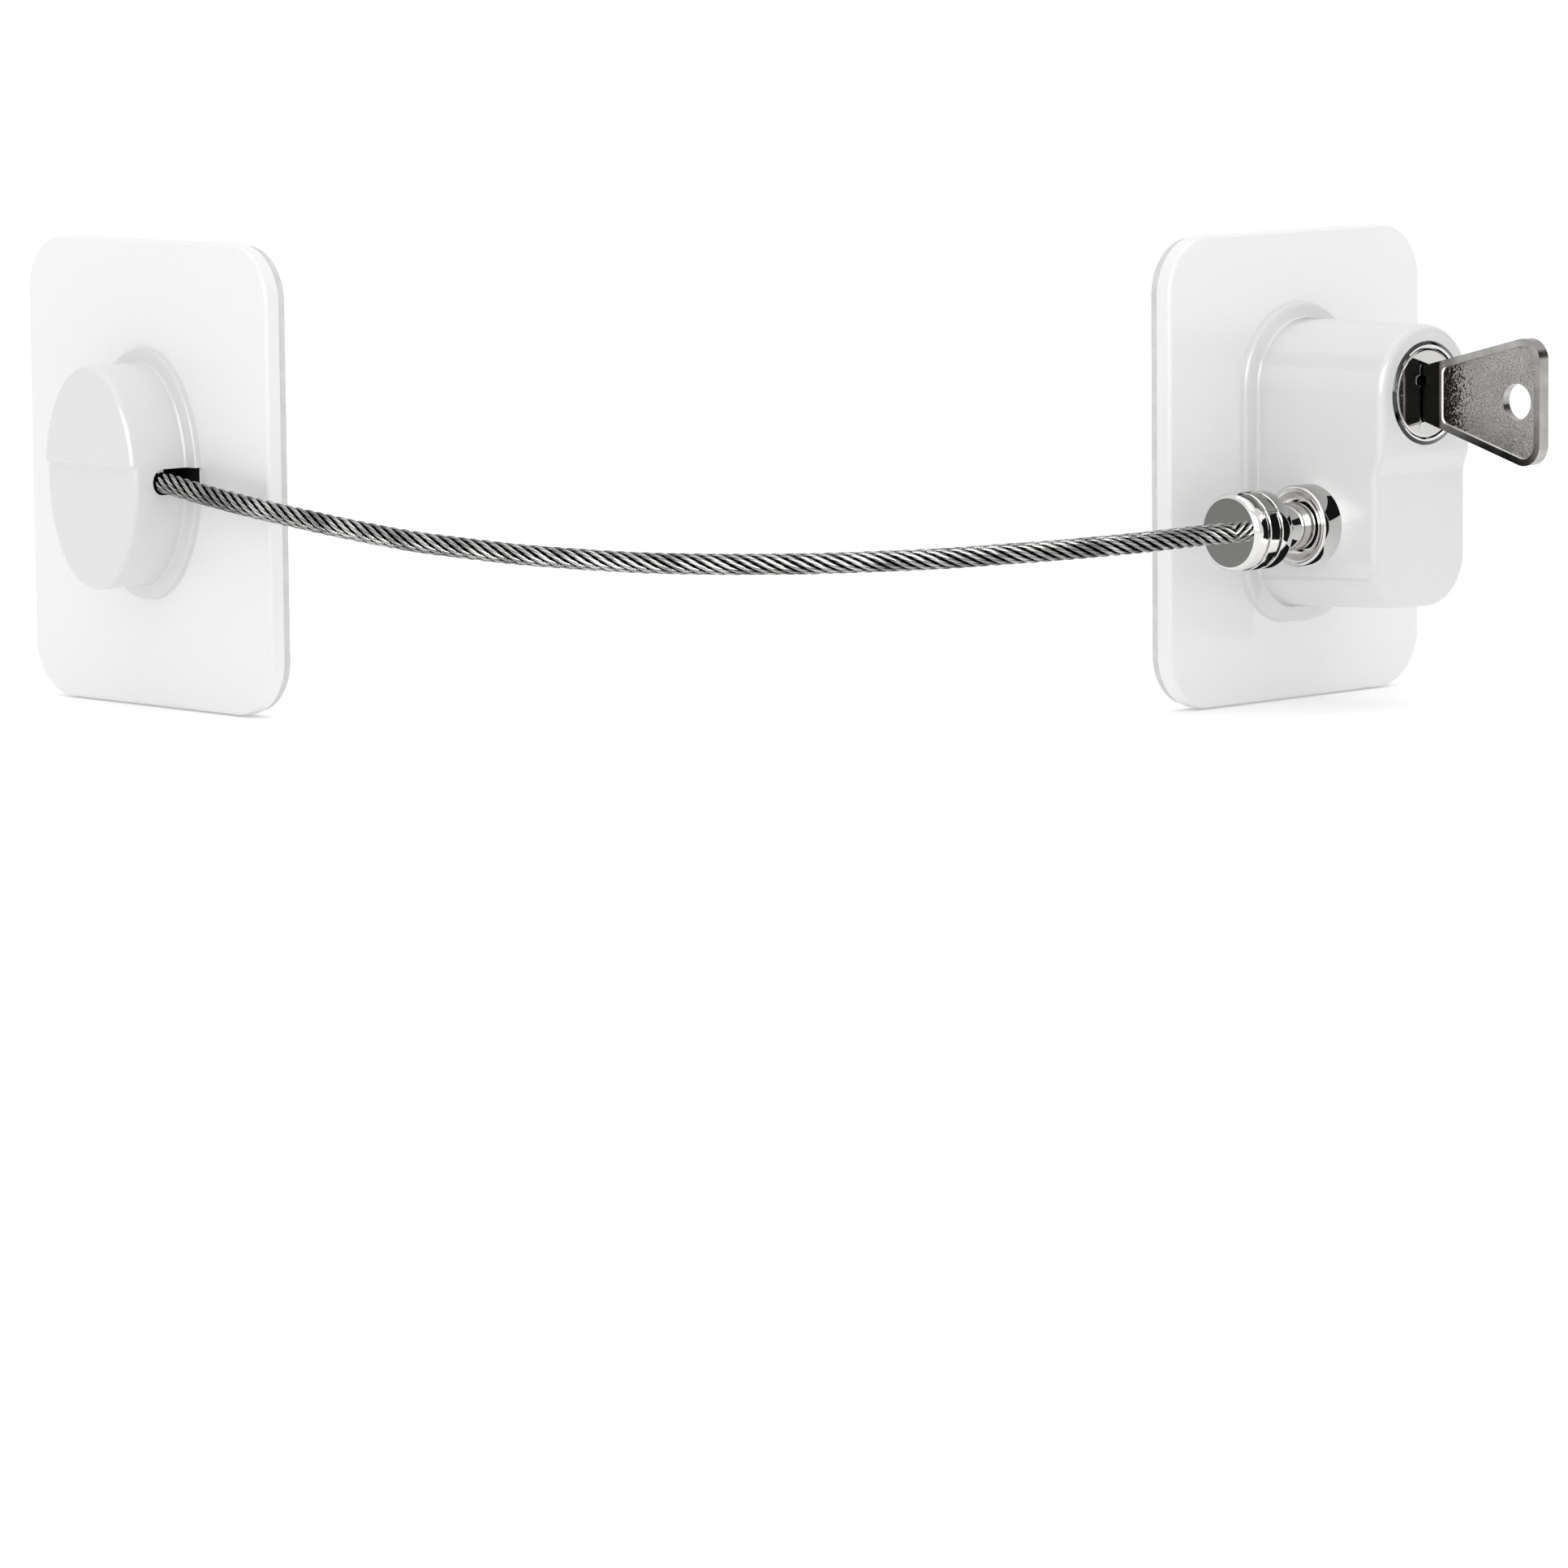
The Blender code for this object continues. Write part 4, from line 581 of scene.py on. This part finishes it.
def cylinder():
    front = HOUSING_DEPTH + 0.15 * MM
    place = Matrix.Translation(CYLINDER_AXIS)
    shoulder, rear = CAVITY_DEPTH - 0.2 * MM, 8.2 * MM
    bore, mouth, outer = 5.06 * MM, 5.6 * MM, 6.28 * MM
    profile = [(front - 0.10 * MM, mouth), (front, mouth + 0.08 * MM), (front, mouth + 0.28 * MM),
               (front - 0.05 * MM, mouth + 0.34 * MM), (front - 0.20 * MM, outer - 0.10 * MM),
               (front - 0.30 * MM, outer), (shoulder, outer), (shoulder, 6.8 * MM), (rear, 6.8 * MM),
               (rear, bore), (HOUSING_DEPTH - 1.25 * MM, bore), (HOUSING_DEPTH - 1.25 * MM, mouth)]
    shell = piece("cylinder_rim", turned([(at_depth(depth), radius) for depth, radius in profile], 128, "Y"),
                  "lock", ["cylinder_shell"], ["chrome", "painted_dark_reflection"], place)
    # Painted dark reflection: the rim's outer bevel and side take the near-black metal.
    for face_of in shell.data.polygons:
        past_ring = math.hypot(face_of.center.x, face_of.center.z) > mouth + 0.29 * MM
        face_of.material_index = 1 if past_ring and face_of.center.y < at_depth(shoulder) else 0
    half, low, high = 2.25 * MM, at_depth(18 * MM), at_depth(rear - 1 * MM)
    combine(shell, block((-half, low, -5.6 * MM), (half, high, 5.6 * MM)))
    combine(shell, block((-5.6 * MM, low, -half), (5.6 * MM, high, half)))

    face, flange = HOUSING_DEPTH, 5.45 * MM
    profile = [(face, 0), (face, flange - 0.34 * MM), (face, flange - 0.30 * MM),
               (face - 0.02 * MM, flange - 0.16 * MM), (face - 0.07 * MM, flange - 0.05 * MM),
               (face - 0.16 * MM, flange), (face - 1.1 * MM, flange), (face - 1.1 * MM, 4.9 * MM),
               (8.4 * MM, 4.9 * MM), (8.4 * MM, 2.6 * MM), (6.4 * MM, 2.6 * MM), (6.4 * MM, 1.8 * MM),
               (4.2 * MM, 1.8 * MM), (4.2 * MM, 0)]
    rotor = piece("rotor_skin", turned([(at_depth(depth), radius) for depth, radius in profile], 128, "Y"),
                  "rotor", ["cylinder_rotor"], ["face_chrome", "painted_mouth_highlight"], place)
    keyway = rounded_corners([(1.1 * MM, -3.35 * MM, 0.25 * MM), (1.1 * MM, 3.35 * MM, 0.25 * MM),
                              (-1.1 * MM, 3.35 * MM, 0.25 * MM), (-1.1 * MM, 2.2 * MM, 0.08 * MM),
                              (-1.75 * MM, 2.0 * MM, 0.3 * MM), (-1.75 * MM, 1.1 * MM, 0.3 * MM),
                              (-1.1 * MM, 0.9 * MM, 0.08 * MM), (-1.1 * MM, -3.35 * MM, 0.25 * MM)], 4)
    combine(rotor, loft([(at_depth(face + 1 * MM), keyway), (at_depth(9.4 * MM), keyway)]), sharp=25)
    flare = [(x * 1.22, z * 1.06) for x, z in keyway]
    mouth_depth = face - 0.10 * MM
    combine(rotor, loft([(at_depth(mouth_depth), keyway), (at_depth(face + 0.02 * MM), flare)]), sharp=25)
    # Painted highlight: the keyway mouth's sloped faces take the pale metal.
    for face_of in rotor.data.polygons:
        at_mouth = abs(face_of.center.y - at_depth(face - 0.05 * MM)) < 0.03 * MM
        within = math.hypot(face_of.center.x, face_of.center.z) < 4 * MM
        sloped = 0.3 < -face_of.normal.y < 0.98
        face_of.material_index = 1 if at_mouth and within and sloped else 0
    for index in range(4):
        centre = 17.6 * MM - index * 2.2 * MM
        combine(rotor, block((-1.95 * MM, at_depth(centre + 0.6 * MM), -6 * MM),
                             (1.95 * MM, at_depth(centre - 0.6 * MM), 6 * MM)), sharp=25)


def key():
    """Notched blade, short neck and flared bow, with a blasted panel inside a polished rim."""
    face = HOUSING_DEPTH + 0.2 * MM
    tip, start, end = 9.8 * MM, face + 2.0 * MM, face + 18.4 * MM
    blade, narrow, wide, thickness, drop = 3.0 * MM, 3.4 * MM, 8.5 * MM, 1.7 * MM, 0.45 * MM
    spread = (wide - narrow) / (end - face)

    def drooped(points):
        return [(depth, z - drop * max(0, depth - face) / (end - face), *rest) for depth, z, *rest in points]

    def panel(rim):
        low, high = start + rim, end - rim
        low_half, high_half = narrow + spread * (low - face) - rim, narrow + spread * (high - face) - rim
        corner = 2.6 * MM - rim
        points = rounded_corners(drooped([(low, -low_half, 0.9 * MM), (high, -high_half, corner),
                                          (high, high_half, corner), (low, low_half, 0.9 * MM)]), 12)
        return [(at_depth(depth), z) for depth, z in points]

    low_edge = [(tip, blade - 1.2 * MM), (tip + 1.2 * MM, blade)]
    for index, cut in reversed(list(enumerate((0.6, 0.9, 0.5, 0.8)))):
        centre = 17.6 * MM - index * 2.2 * MM
        low_edge += [(centre - 0.9 * MM, blade), (centre, blade - cut * MM), (centre + 0.9 * MM, blade)]
    low_edge += [(face, blade), (face, narrow)]
    corners = [(depth, -z, 0) for depth, z in low_edge]
    corners += [(end, -wide, 2.6 * MM), (end, wide, 2.6 * MM)]
    corners += [(face, narrow, 0), (face, blade, 0), (tip + 1.2 * MM, blade, 0), (tip, blade - 1.2 * MM, 0)]
    outline = [(at_depth(depth), z) for depth, z in rounded_corners(drooped(corners), 16)]
    half = thickness / 2
    looks = ["nickel", "blasted", "painted_panel_highlight", "painted_dark_reflection"]
    made = piece("key_skin", loft([(-half, outline), (half, outline)], "X"), "key_body", ["key"], looks,
                 Matrix.Translation(CYLINDER_AXIS))
    rim, slope, recess = 1.0 * MM, 0.12 * MM, 0.24 * MM
    for side in (-1, 1):
        combine(made, loft([(side * (half - recess), panel(rim)), (side * half, panel(rim - slope)),
                            (side * (half + 1 * MM), panel(rim - slope))], "X"))
    hole_depth, hole_z = drooped([(end - 3.75 * MM, 0)])[0]
    combine(made, rod(2.2 * MM, -2 * MM, 2 * MM, 72, "X"), place=(0, at_depth(hole_depth), hole_z))
    # Painted highlight: the slopes between rim and panel take the near-white metal.
    for face_of in made.data.polygons:
        below = half - abs(face_of.center.x)
        floor = abs(below - recess) < 0.02 * MM and abs(face_of.normal.x) > 0.9
        sloped = 0.02 * MM < below < recess and 0.3 < abs(face_of.normal.x) < 0.95
        face_of.material_index = 1 if floor else 2 if sloped else 0
    # Painted dark reflection: the key's edge bevels take the near-black metal.
    edge = made.modifiers.new("edge", "BEVEL")
    edge.width = 0.10 * MM
    edge.segments = 2
    edge.limit_method = "ANGLE"
    edge.angle_limit = math.radians(60)
    edge.harden_normals = True
    edge.material = looks.index("painted_dark_reflection")


# Socket and plug

def socket():
    face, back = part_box("socket_bushing")[0].x, -8.35 * MM
    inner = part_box("socket_bushing")[1].x
    rim, bore, dish, thread = 4.95 * MM, 3.2 * MM, 0.75 * MM, 3.95 * MM
    ring = bore + 1.1 * MM
    profile = [(face + dish, bore), (face + dish - 0.02 * MM, bore + 0.15 * MM),
               (face + dish - 0.10 * MM, bore + 0.35 * MM), (face + 0.42 * MM, rim - 1.05 * MM),
               (face + 0.12 * MM, rim - 0.72 * MM), (face + 0.03 * MM, rim - 0.60 * MM),
               (face, rim - 0.48 * MM), (face, rim - 0.28 * MM),
               (face + 0.05 * MM, rim - 0.14 * MM), (face + 0.14 * MM, rim - 0.05 * MM),
               (face + 0.28 * MM, rim),
               (back - 0.02 * MM, rim), (back - 0.02 * MM, thread), (inner, thread), (inner, bore),
               (back - 0.8 * MM, bore), (back - 0.8 * MM, ring), (back - 1.94 * MM, ring),
               (back - 1.94 * MM, bore)]
    made = piece("socket_skin", turned(profile, 128), "lock", ["socket_bushing"], ["chrome", "turned"],
                 Matrix.Translation(SOCKET_AXIS))
    for face_of in made.data.polygons:
        face_of.material_index = 1 if face_of.normal.x < -0.15 else 0


def plug():
    low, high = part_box("cable_plug")
    face, back = low.x, low.x + 6.45 * MM
    full, pin = 4.75 * MM, 2.95 * MM
    profile = [(face, 0), (face, full - 0.60 * MM), (face, full - 0.55 * MM),
               (face + 0.04 * MM, full - 0.42 * MM), (face + 0.42 * MM, full - 0.04 * MM),
               (face + 0.55 * MM, full)]
    for start, end, floor in ((2.05, 2.45, 0.40), (4.05, 4.55, 0.55)):
        bottom = full - floor * MM
        profile += [(face + (start - 0.12) * MM, full), (face + start * MM, full - 0.08 * MM),
                    (face + (start + 0.06) * MM, bottom), (face + (end - 0.06) * MM, bottom),
                    (face + end * MM, full - 0.08 * MM), (face + (end + 0.12) * MM, full)]
    profile += [(back - 0.30 * MM, full), (back - 0.10 * MM, full - 0.08 * MM), (back, full - 0.30 * MM),
                (back, pin + 0.15 * MM), (back + 0.15 * MM, pin)]
    groove_half, core, latch_x = 1.3 * MM, 1.5 * MM, -2.2 * MM
    for centre in (latch_x - 5 * MM, latch_x):
        left, right = centre - groove_half, centre + groove_half
        profile += [(left - 0.1 * MM, pin), (left, pin - 0.1 * MM), (left, core), (right, core),
                    (right, pin - 0.1 * MM), (right + 0.1 * MM, pin)]
    profile += [(high.x - 0.9 * MM, pin), (high.x - 0.2 * MM, 2.0 * MM), (high.x, 1.7 * MM), (high.x, 0)]
    made = piece("plug_skin", turned(profile, 128), "plug", ["cable_plug"], ["chrome"],
                 Matrix.Translation(SOCKET_AXIS))
    even_shading(made)


# Anchor

def anchor_cover():
    half_width, half_height, depth, wall = 8.6 * MM, 13.9 * MM, 9.75 * MM, 1.7 * MM
    cavity = depth - 0.5 * MM - wall

    def outline(grow, steps=128):
        return ellipse(half_width + grow, half_height + grow, steps)

    rings = [(-0.03 * MM, 1.8 * MM), (0.70 * MM, 1.75 * MM), (0.80 * MM, 1.72 * MM), (0.87 * MM, 1.66 * MM),
             (0.92 * MM, 1.58 * MM), (1.00 * MM, 0.50 * MM), (1.04 * MM, 0.22 * MM), (1.12 * MM, 0.12 * MM),
             (1.25 * MM, 0.05 * MM), (1.50 * MM, 0)]
    rings += quarter(depth, 0.9 * MM)
    shape = loft([(at_depth(at), outline(grow)) for at, grow in rings])
    high, low = 1.85 * MM, 1.50 * MM
    ease = 0.10 * MM
    share = ramp_between(high, low, ease)
    levels = [edge + ease * offset for edge in (high, low) for offset in (-2, -1, 0, 1, 2)]
    blend_step(shape, levels, lambda z: 0.5 * MM * share(z), at_depth(cavity))
    cover = piece("cover_skin", shape, "anchor", ["anchor_cover"], ["plastic", "slot_shade"],
                  ANCHOR_SEAT)
    combine(cover, loft([(at_depth(-1 * MM), outline(-wall, 64)), (at_depth(cavity), outline(-wall, 64))]))
    half, slot_z = 1.6 * MM, -0.3 * MM
    slot = arc(at_depth(4.7 * MM), slot_z, half, 90, 270, 24)
    slot += [(at_depth(-1 * MM), slot_z - half), (at_depth(-1 * MM), slot_z + half)]
    combine(cover, loft([(half_width - wall - 1 * MM, slot), (half_width + 2.4 * MM, slot)], "X"))
    # Painted shade: a sheet on the plate across the slot and cavity, near black like their walls.
    shade_sheet = block((half_width - wall - 4.5 * MM, at_depth(0.10 * MM), slot_z - half - 0.2 * MM),
                 (half_width + 1.5 * MM, at_depth(-0.02 * MM), slot_z + half + 0.2 * MM))
    combine(cover, shade_sheet, "UNION")
    # Painted shade: the cavity, the slot's walls and the sheet take the near-black look.
    for face_of in cover.data.polygons:
        x, y, z = face_of.center
        within_wall = math.hypot(x / (half_width - wall), z / (half_height - wall)) < 1.005
        in_cavity = within_wall and y > at_depth(cavity + MM)
        past_wall = x > half_width - wall - MM and y > at_depth(6.4 * MM)
        in_slot = past_wall and abs(z - slot_z) < half + 0.01 * MM and abs(face_of.normal.x) < 0.3
        face_of.material_index = 1 if in_cavity or in_slot else 0
    even_shading(cover)


# Cable

CABLE_DIAMETER = 2.6 * MM
CABLE_ROUTE = (
    (-0.1052, 0.0908, -0.0003), (-0.1052, 0.0880, -0.00045), (-0.1050, 0.0831, -0.0012),
    (-0.1042, 0.0749, -0.0024), (-0.1029, 0.0669, -0.0035), (-0.1011, 0.0590, -0.0046),
    (-0.0989, 0.0514, -0.0056), (-0.0962, 0.0441, -0.0063), (-0.0931, 0.0370, -0.0069),
    (-0.0896, 0.0303, -0.0073), (-0.0857, 0.0239, -0.0076), (-0.0815, 0.0180, -0.0077),
    (-0.0769, 0.0124, -0.0077), (-0.0720, 0.0073, -0.00765), (-0.0668, 0.0027, -0.0075),
    (-0.0613, -0.0014, -0.00735), (-0.0555, -0.0049, -0.0071), (-0.0495, -0.0079, -0.0069),
    (-0.0432, -0.0102, -0.0067), (-0.0368, -0.0119, -0.0065), (-0.0301, -0.0129, -0.0063),
    (-0.02355, -0.01327, -0.00625),
)


def smooth_route(points, spacing):
    """Points about one spacing apart on the smooth curve through the route's points."""
    ends = [points[0] * 2 - points[1]] + points + [points[-1] * 2 - points[-2]]
    fine = []
    for before, start, end, after in zip(ends, ends[1:], ends[2:], ends[3:]):
        for step in range(40):
            t = step / 40
            line = 2 * start + (end - before) * t
            bend = (2 * before - 5 * start + 4 * end - after) * t * t
            ease = (3 * start - before - 3 * end + after) * t ** 3
            fine.append(0.5 * (line + bend + ease))
    fine.append(points[-1])
    travelled = [0.0]
    for start, end in zip(fine, fine[1:]):
        travelled.append(travelled[-1] + (end - start).length)
    count = round(travelled[-1] / spacing) + 1
    picked, index = [], 0
    for number in range(count):
        goal = travelled[-1] * number / (count - 1)
        while index < len(fine) - 2 and travelled[index + 1] < goal:
            index += 1
        share = (goal - travelled[index]) / (travelled[index + 1] - travelled[index])
        picked.append(fine[index].lerp(fine[index + 1], min(1.0, share)))
    return picked, travelled[-1]


def carried_frames(path):
    """A tangent and two normals at each point, carried along without twisting."""
    frames = []
    normal = Vector((0, 0, 1))
    for index, point in enumerate(path):
        ahead, behind = path[min(index + 1, len(path) - 1)], path[max(index - 1, 0)]
        tangent = (ahead - behind).normalized()
        normal = (normal - tangent * normal.dot(tangent)).normalized()
        frames.append((point, normal, tangent.cross(normal)))
    return frames


def wire_rope():
    """Eight strands of six wires laid right-handed round a thicker core, their wires laid the other way."""
    spacing, strand_lay, wire_lay = 0.30 * MM, 12.5 * MM, 5.5 * MM
    strands, wires, around = 8, 6, 24
    outer = CABLE_DIAMETER / 2
    strand_radius = outer * math.sin(math.pi / strands) / (1 + math.sin(math.pi / strands))
    centre_radius = outer - strand_radius
    path, length = smooth_route([Vector(point) for point in CABLE_ROUTE], spacing)
    path = path + [path[-1] + (path[-1] - path[-2]).normalized() * 0.30 * MM]
    frames = carried_frames(path)
    vertices, faces, shades = [], [], []
    for strand in range(strands + 1):
        core = strand == strands
        first = len(vertices)
        for ring, (point, normal, side) in enumerate(frames):
            lay = 2 * math.pi * strand / strands + 2 * math.pi * ring * spacing / strand_lay
            reach = 0 if core else centre_radius
            centre = point + (normal * math.cos(lay) + side * math.sin(lay)) * reach
            twist = -2 * math.pi * ring * spacing / wire_lay
            for step in range(around):
                angle = 2 * math.pi * step / around
                lobe = abs(math.cos(wires / 2 * (angle - twist)))
                full = centre_radius - 0.7 * strand_radius if core else strand_radius
                radius = full * (0.86 + 0.14 * lobe)
                place = centre + (normal * math.cos(angle + lay) + side * math.sin(angle + lay)) * radius
                vertices.append(place)
                # Painted shade: each point's value is low deep in the rope and between the wires, and
                # highest on the wires' crests.
                height = ((place - point).length - centre_radius * 0.8) / (outer - centre_radius * 0.8)
                shades.append(max(0.0, min(1.0, height)) * (0.35 + 0.65 * lobe))
        for ring in range(len(frames) - 1):
            for step in range(around):
                following = (step + 1) % around
                low, high = first + ring * around, first + (ring + 1) * around
                faces.append((low + step, low + following, high + following, high + step))
        faces.append(tuple(first + step for step in reversed(range(around))))
        last = first + (len(frames) - 1) * around
        faces.append(tuple(last + step for step in range(around)))
    mesh = bpy.data.meshes.new("wire_rope")
    mesh.from_pydata(vertices, [], faces)
    shade = mesh.attributes.new("painted_groove_shade", "FLOAT", "POINT")
    shade.data.foreach_set("value", shades)
    mesh.materials.append(LOOKS["wire"])
    mesh.shade_smooth()
    mesh.set_sharp_from_angle(angle=math.radians(60))
    rope = bpy.data.objects.new("wire_rope", mesh)
    bpy.context.scene.collection.objects.link(rope)
    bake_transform(rope)
    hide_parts("cable_lock_half", "cable_anchor_half")


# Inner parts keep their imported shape

def dress_inner_parts():
    slots = {part["node"]: part["material_slot"] for part in frame["record"]["subparts"]}
    for name, node in frame["nodes"].items():
        look = LOOKS[SLOT_LOOKS[slots[name]]]
        for index in range(len(node.material_slots)):
            node.material_slots[index].material = look
        if not node.material_slots:
            node.data.materials.append(look)


# Studio

def studio():
    low, high = cad_bounds
    reach, floor_z = 8.0, low.z - 0.0002
    mesh_builder = bmesh.new()
    bmesh.ops.create_grid(mesh_builder, x_segments=8, y_segments=8, size=reach)
    bmesh.ops.translate(mesh_builder, vec=(0, 0, floor_z), verts=mesh_builder.verts)
    mesh = bpy.data.meshes.new("floor")
    mesh_builder.to_mesh(mesh)
    mesh_builder.free()
    mesh.materials.append(LOOKS["floor"])
    floor = bpy.data.objects.new("floor", mesh)
    bpy.context.scene.collection.objects.link(floor)
    soft_light("overhead_light", (-0.1, -0.1, 1.3), (-0.05, 0.04, 0), 1.4, 5.0)
    soft_light("left_light", (-1.2, -0.2, 0.6), (-0.05, 0.04, 0), 0.9, 0.6)
    plug_centre = SOCKET_AXIS + Vector((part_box("cable_plug")[0].x, 0, 0))
    card("front_softbox", (-0.373, -0.289, 0.17), Vector((0.65, 0.68, -0.34)), 0.50, 0.30,
         glowing("softbox_look", 7))
    card("floor_bounce", (0.045, -0.075, floor_z + 0.001), Vector((0, 0, 1)), 0.07, 0.055,
         glowing("bounce_look", 1.4))
    black, left = glowing("flag_look", 0.01), Vector((-1, 0, 0))
    card("dark_flag", (0.15, -0.11, 0.0765), left, 0.18, 0.077, black)
    card("wall_card", (-0.0078, -0.0125, -0.002), left, 0.021, 0.036, glowing("wall_look", 1, (1.0, 0.10)))
    card("foot_flag", SOCKET_AXIS + Vector((-0.0080, 0.001, -0.0105)), left, 0.019, 0.0084, black)
    card("bushing_flag", SOCKET_AXIS + Vector((-0.0080, -0.00615, 0.0033)), left, 0.0057, 0.0034, black)
    card("plug_flag", SOCKET_AXIS + Vector((-0.0080, -0.0165, 0.0025)), left, 0.0145, 0.0165, black)
    card("grey_card", plug_centre + Vector((-0.0366, 0.0337, -0.0046)), Vector((0.733, -0.674, 0)),
         0.028, 0.03, glowing("grey_card_look", 1, (0.33, 0.20)))
    world_light()


def glowing(name, strength, shades=(1, 1)):
    """A card's own light, shaded from its foot to its top."""
    nodes = Nodes(name, (0, 0, 0), 1.0, Specular_IOR_Level=0.0, Emission_Strength=float(strength))
    coordinates = nodes.add("ShaderNodeTexCoord")
    split = nodes.add("ShaderNodeSeparateXYZ")
    nodes.link(coordinates.outputs["Generated"], split.inputs["Vector"])
    nodes.set("Emission Color", nodes.ramp(split.outputs["Y"], *shades, 0.0, 1.0))
    return nodes.material


def card(name, place, facing, width, height, look):
    """A flat card that only reflections see."""
    mesh_builder = bmesh.new()
    bmesh.ops.create_grid(mesh_builder, x_segments=1, y_segments=1, size=0.5)
    bmesh.ops.scale(mesh_builder, vec=(width, height, 1), verts=mesh_builder.verts)
    mesh = bpy.data.meshes.new(name)
    mesh_builder.to_mesh(mesh)
    mesh_builder.free()
    mesh.materials.append(look)
    made = bpy.data.objects.new(name, mesh)
    bpy.context.scene.collection.objects.link(made)
    made.matrix_world = Matrix.Translation(place) @ facing.to_track_quat("Z", "Y").to_matrix().to_4x4()
    made.visible_camera = made.visible_diffuse = made.visible_transmission = False
    made.visible_volume_scatter = made.visible_shadow = False


def soft_light(name, place, aim, size, power):
    data = bpy.data.lights.new(name, "AREA")
    data.shape, data.size, data.energy = "SQUARE", size, power
    light = bpy.data.objects.new(name, data)
    bpy.context.scene.collection.objects.link(light)
    light.location = place
    light.rotation_mode = "QUATERNION"
    light.rotation_quaternion = (Vector(aim) - Vector(place)).to_track_quat("-Z", "Y")
    light.visible_camera = False


def world_light():
    """An even white surround."""
    world = bpy.data.worlds.new("studio")
    world.use_nodes = True
    bpy.context.scene.world = world
    background = world.node_tree.nodes["Background"]
    background.inputs["Color"].default_value = (1, 1, 1, 1)
    background.inputs["Strength"].default_value = 0.92
    bpy.context.scene.view_settings.view_transform = "Standard"


make_camera()
plug()
wire_rope()
plate_and_pad("lock", Matrix.Identity(4))
plate_and_pad("anchor", ANCHOR_SEAT)
lock_housing()
cylinder()
key()
socket()
anchor_cover()
dress_inner_parts()
studio()
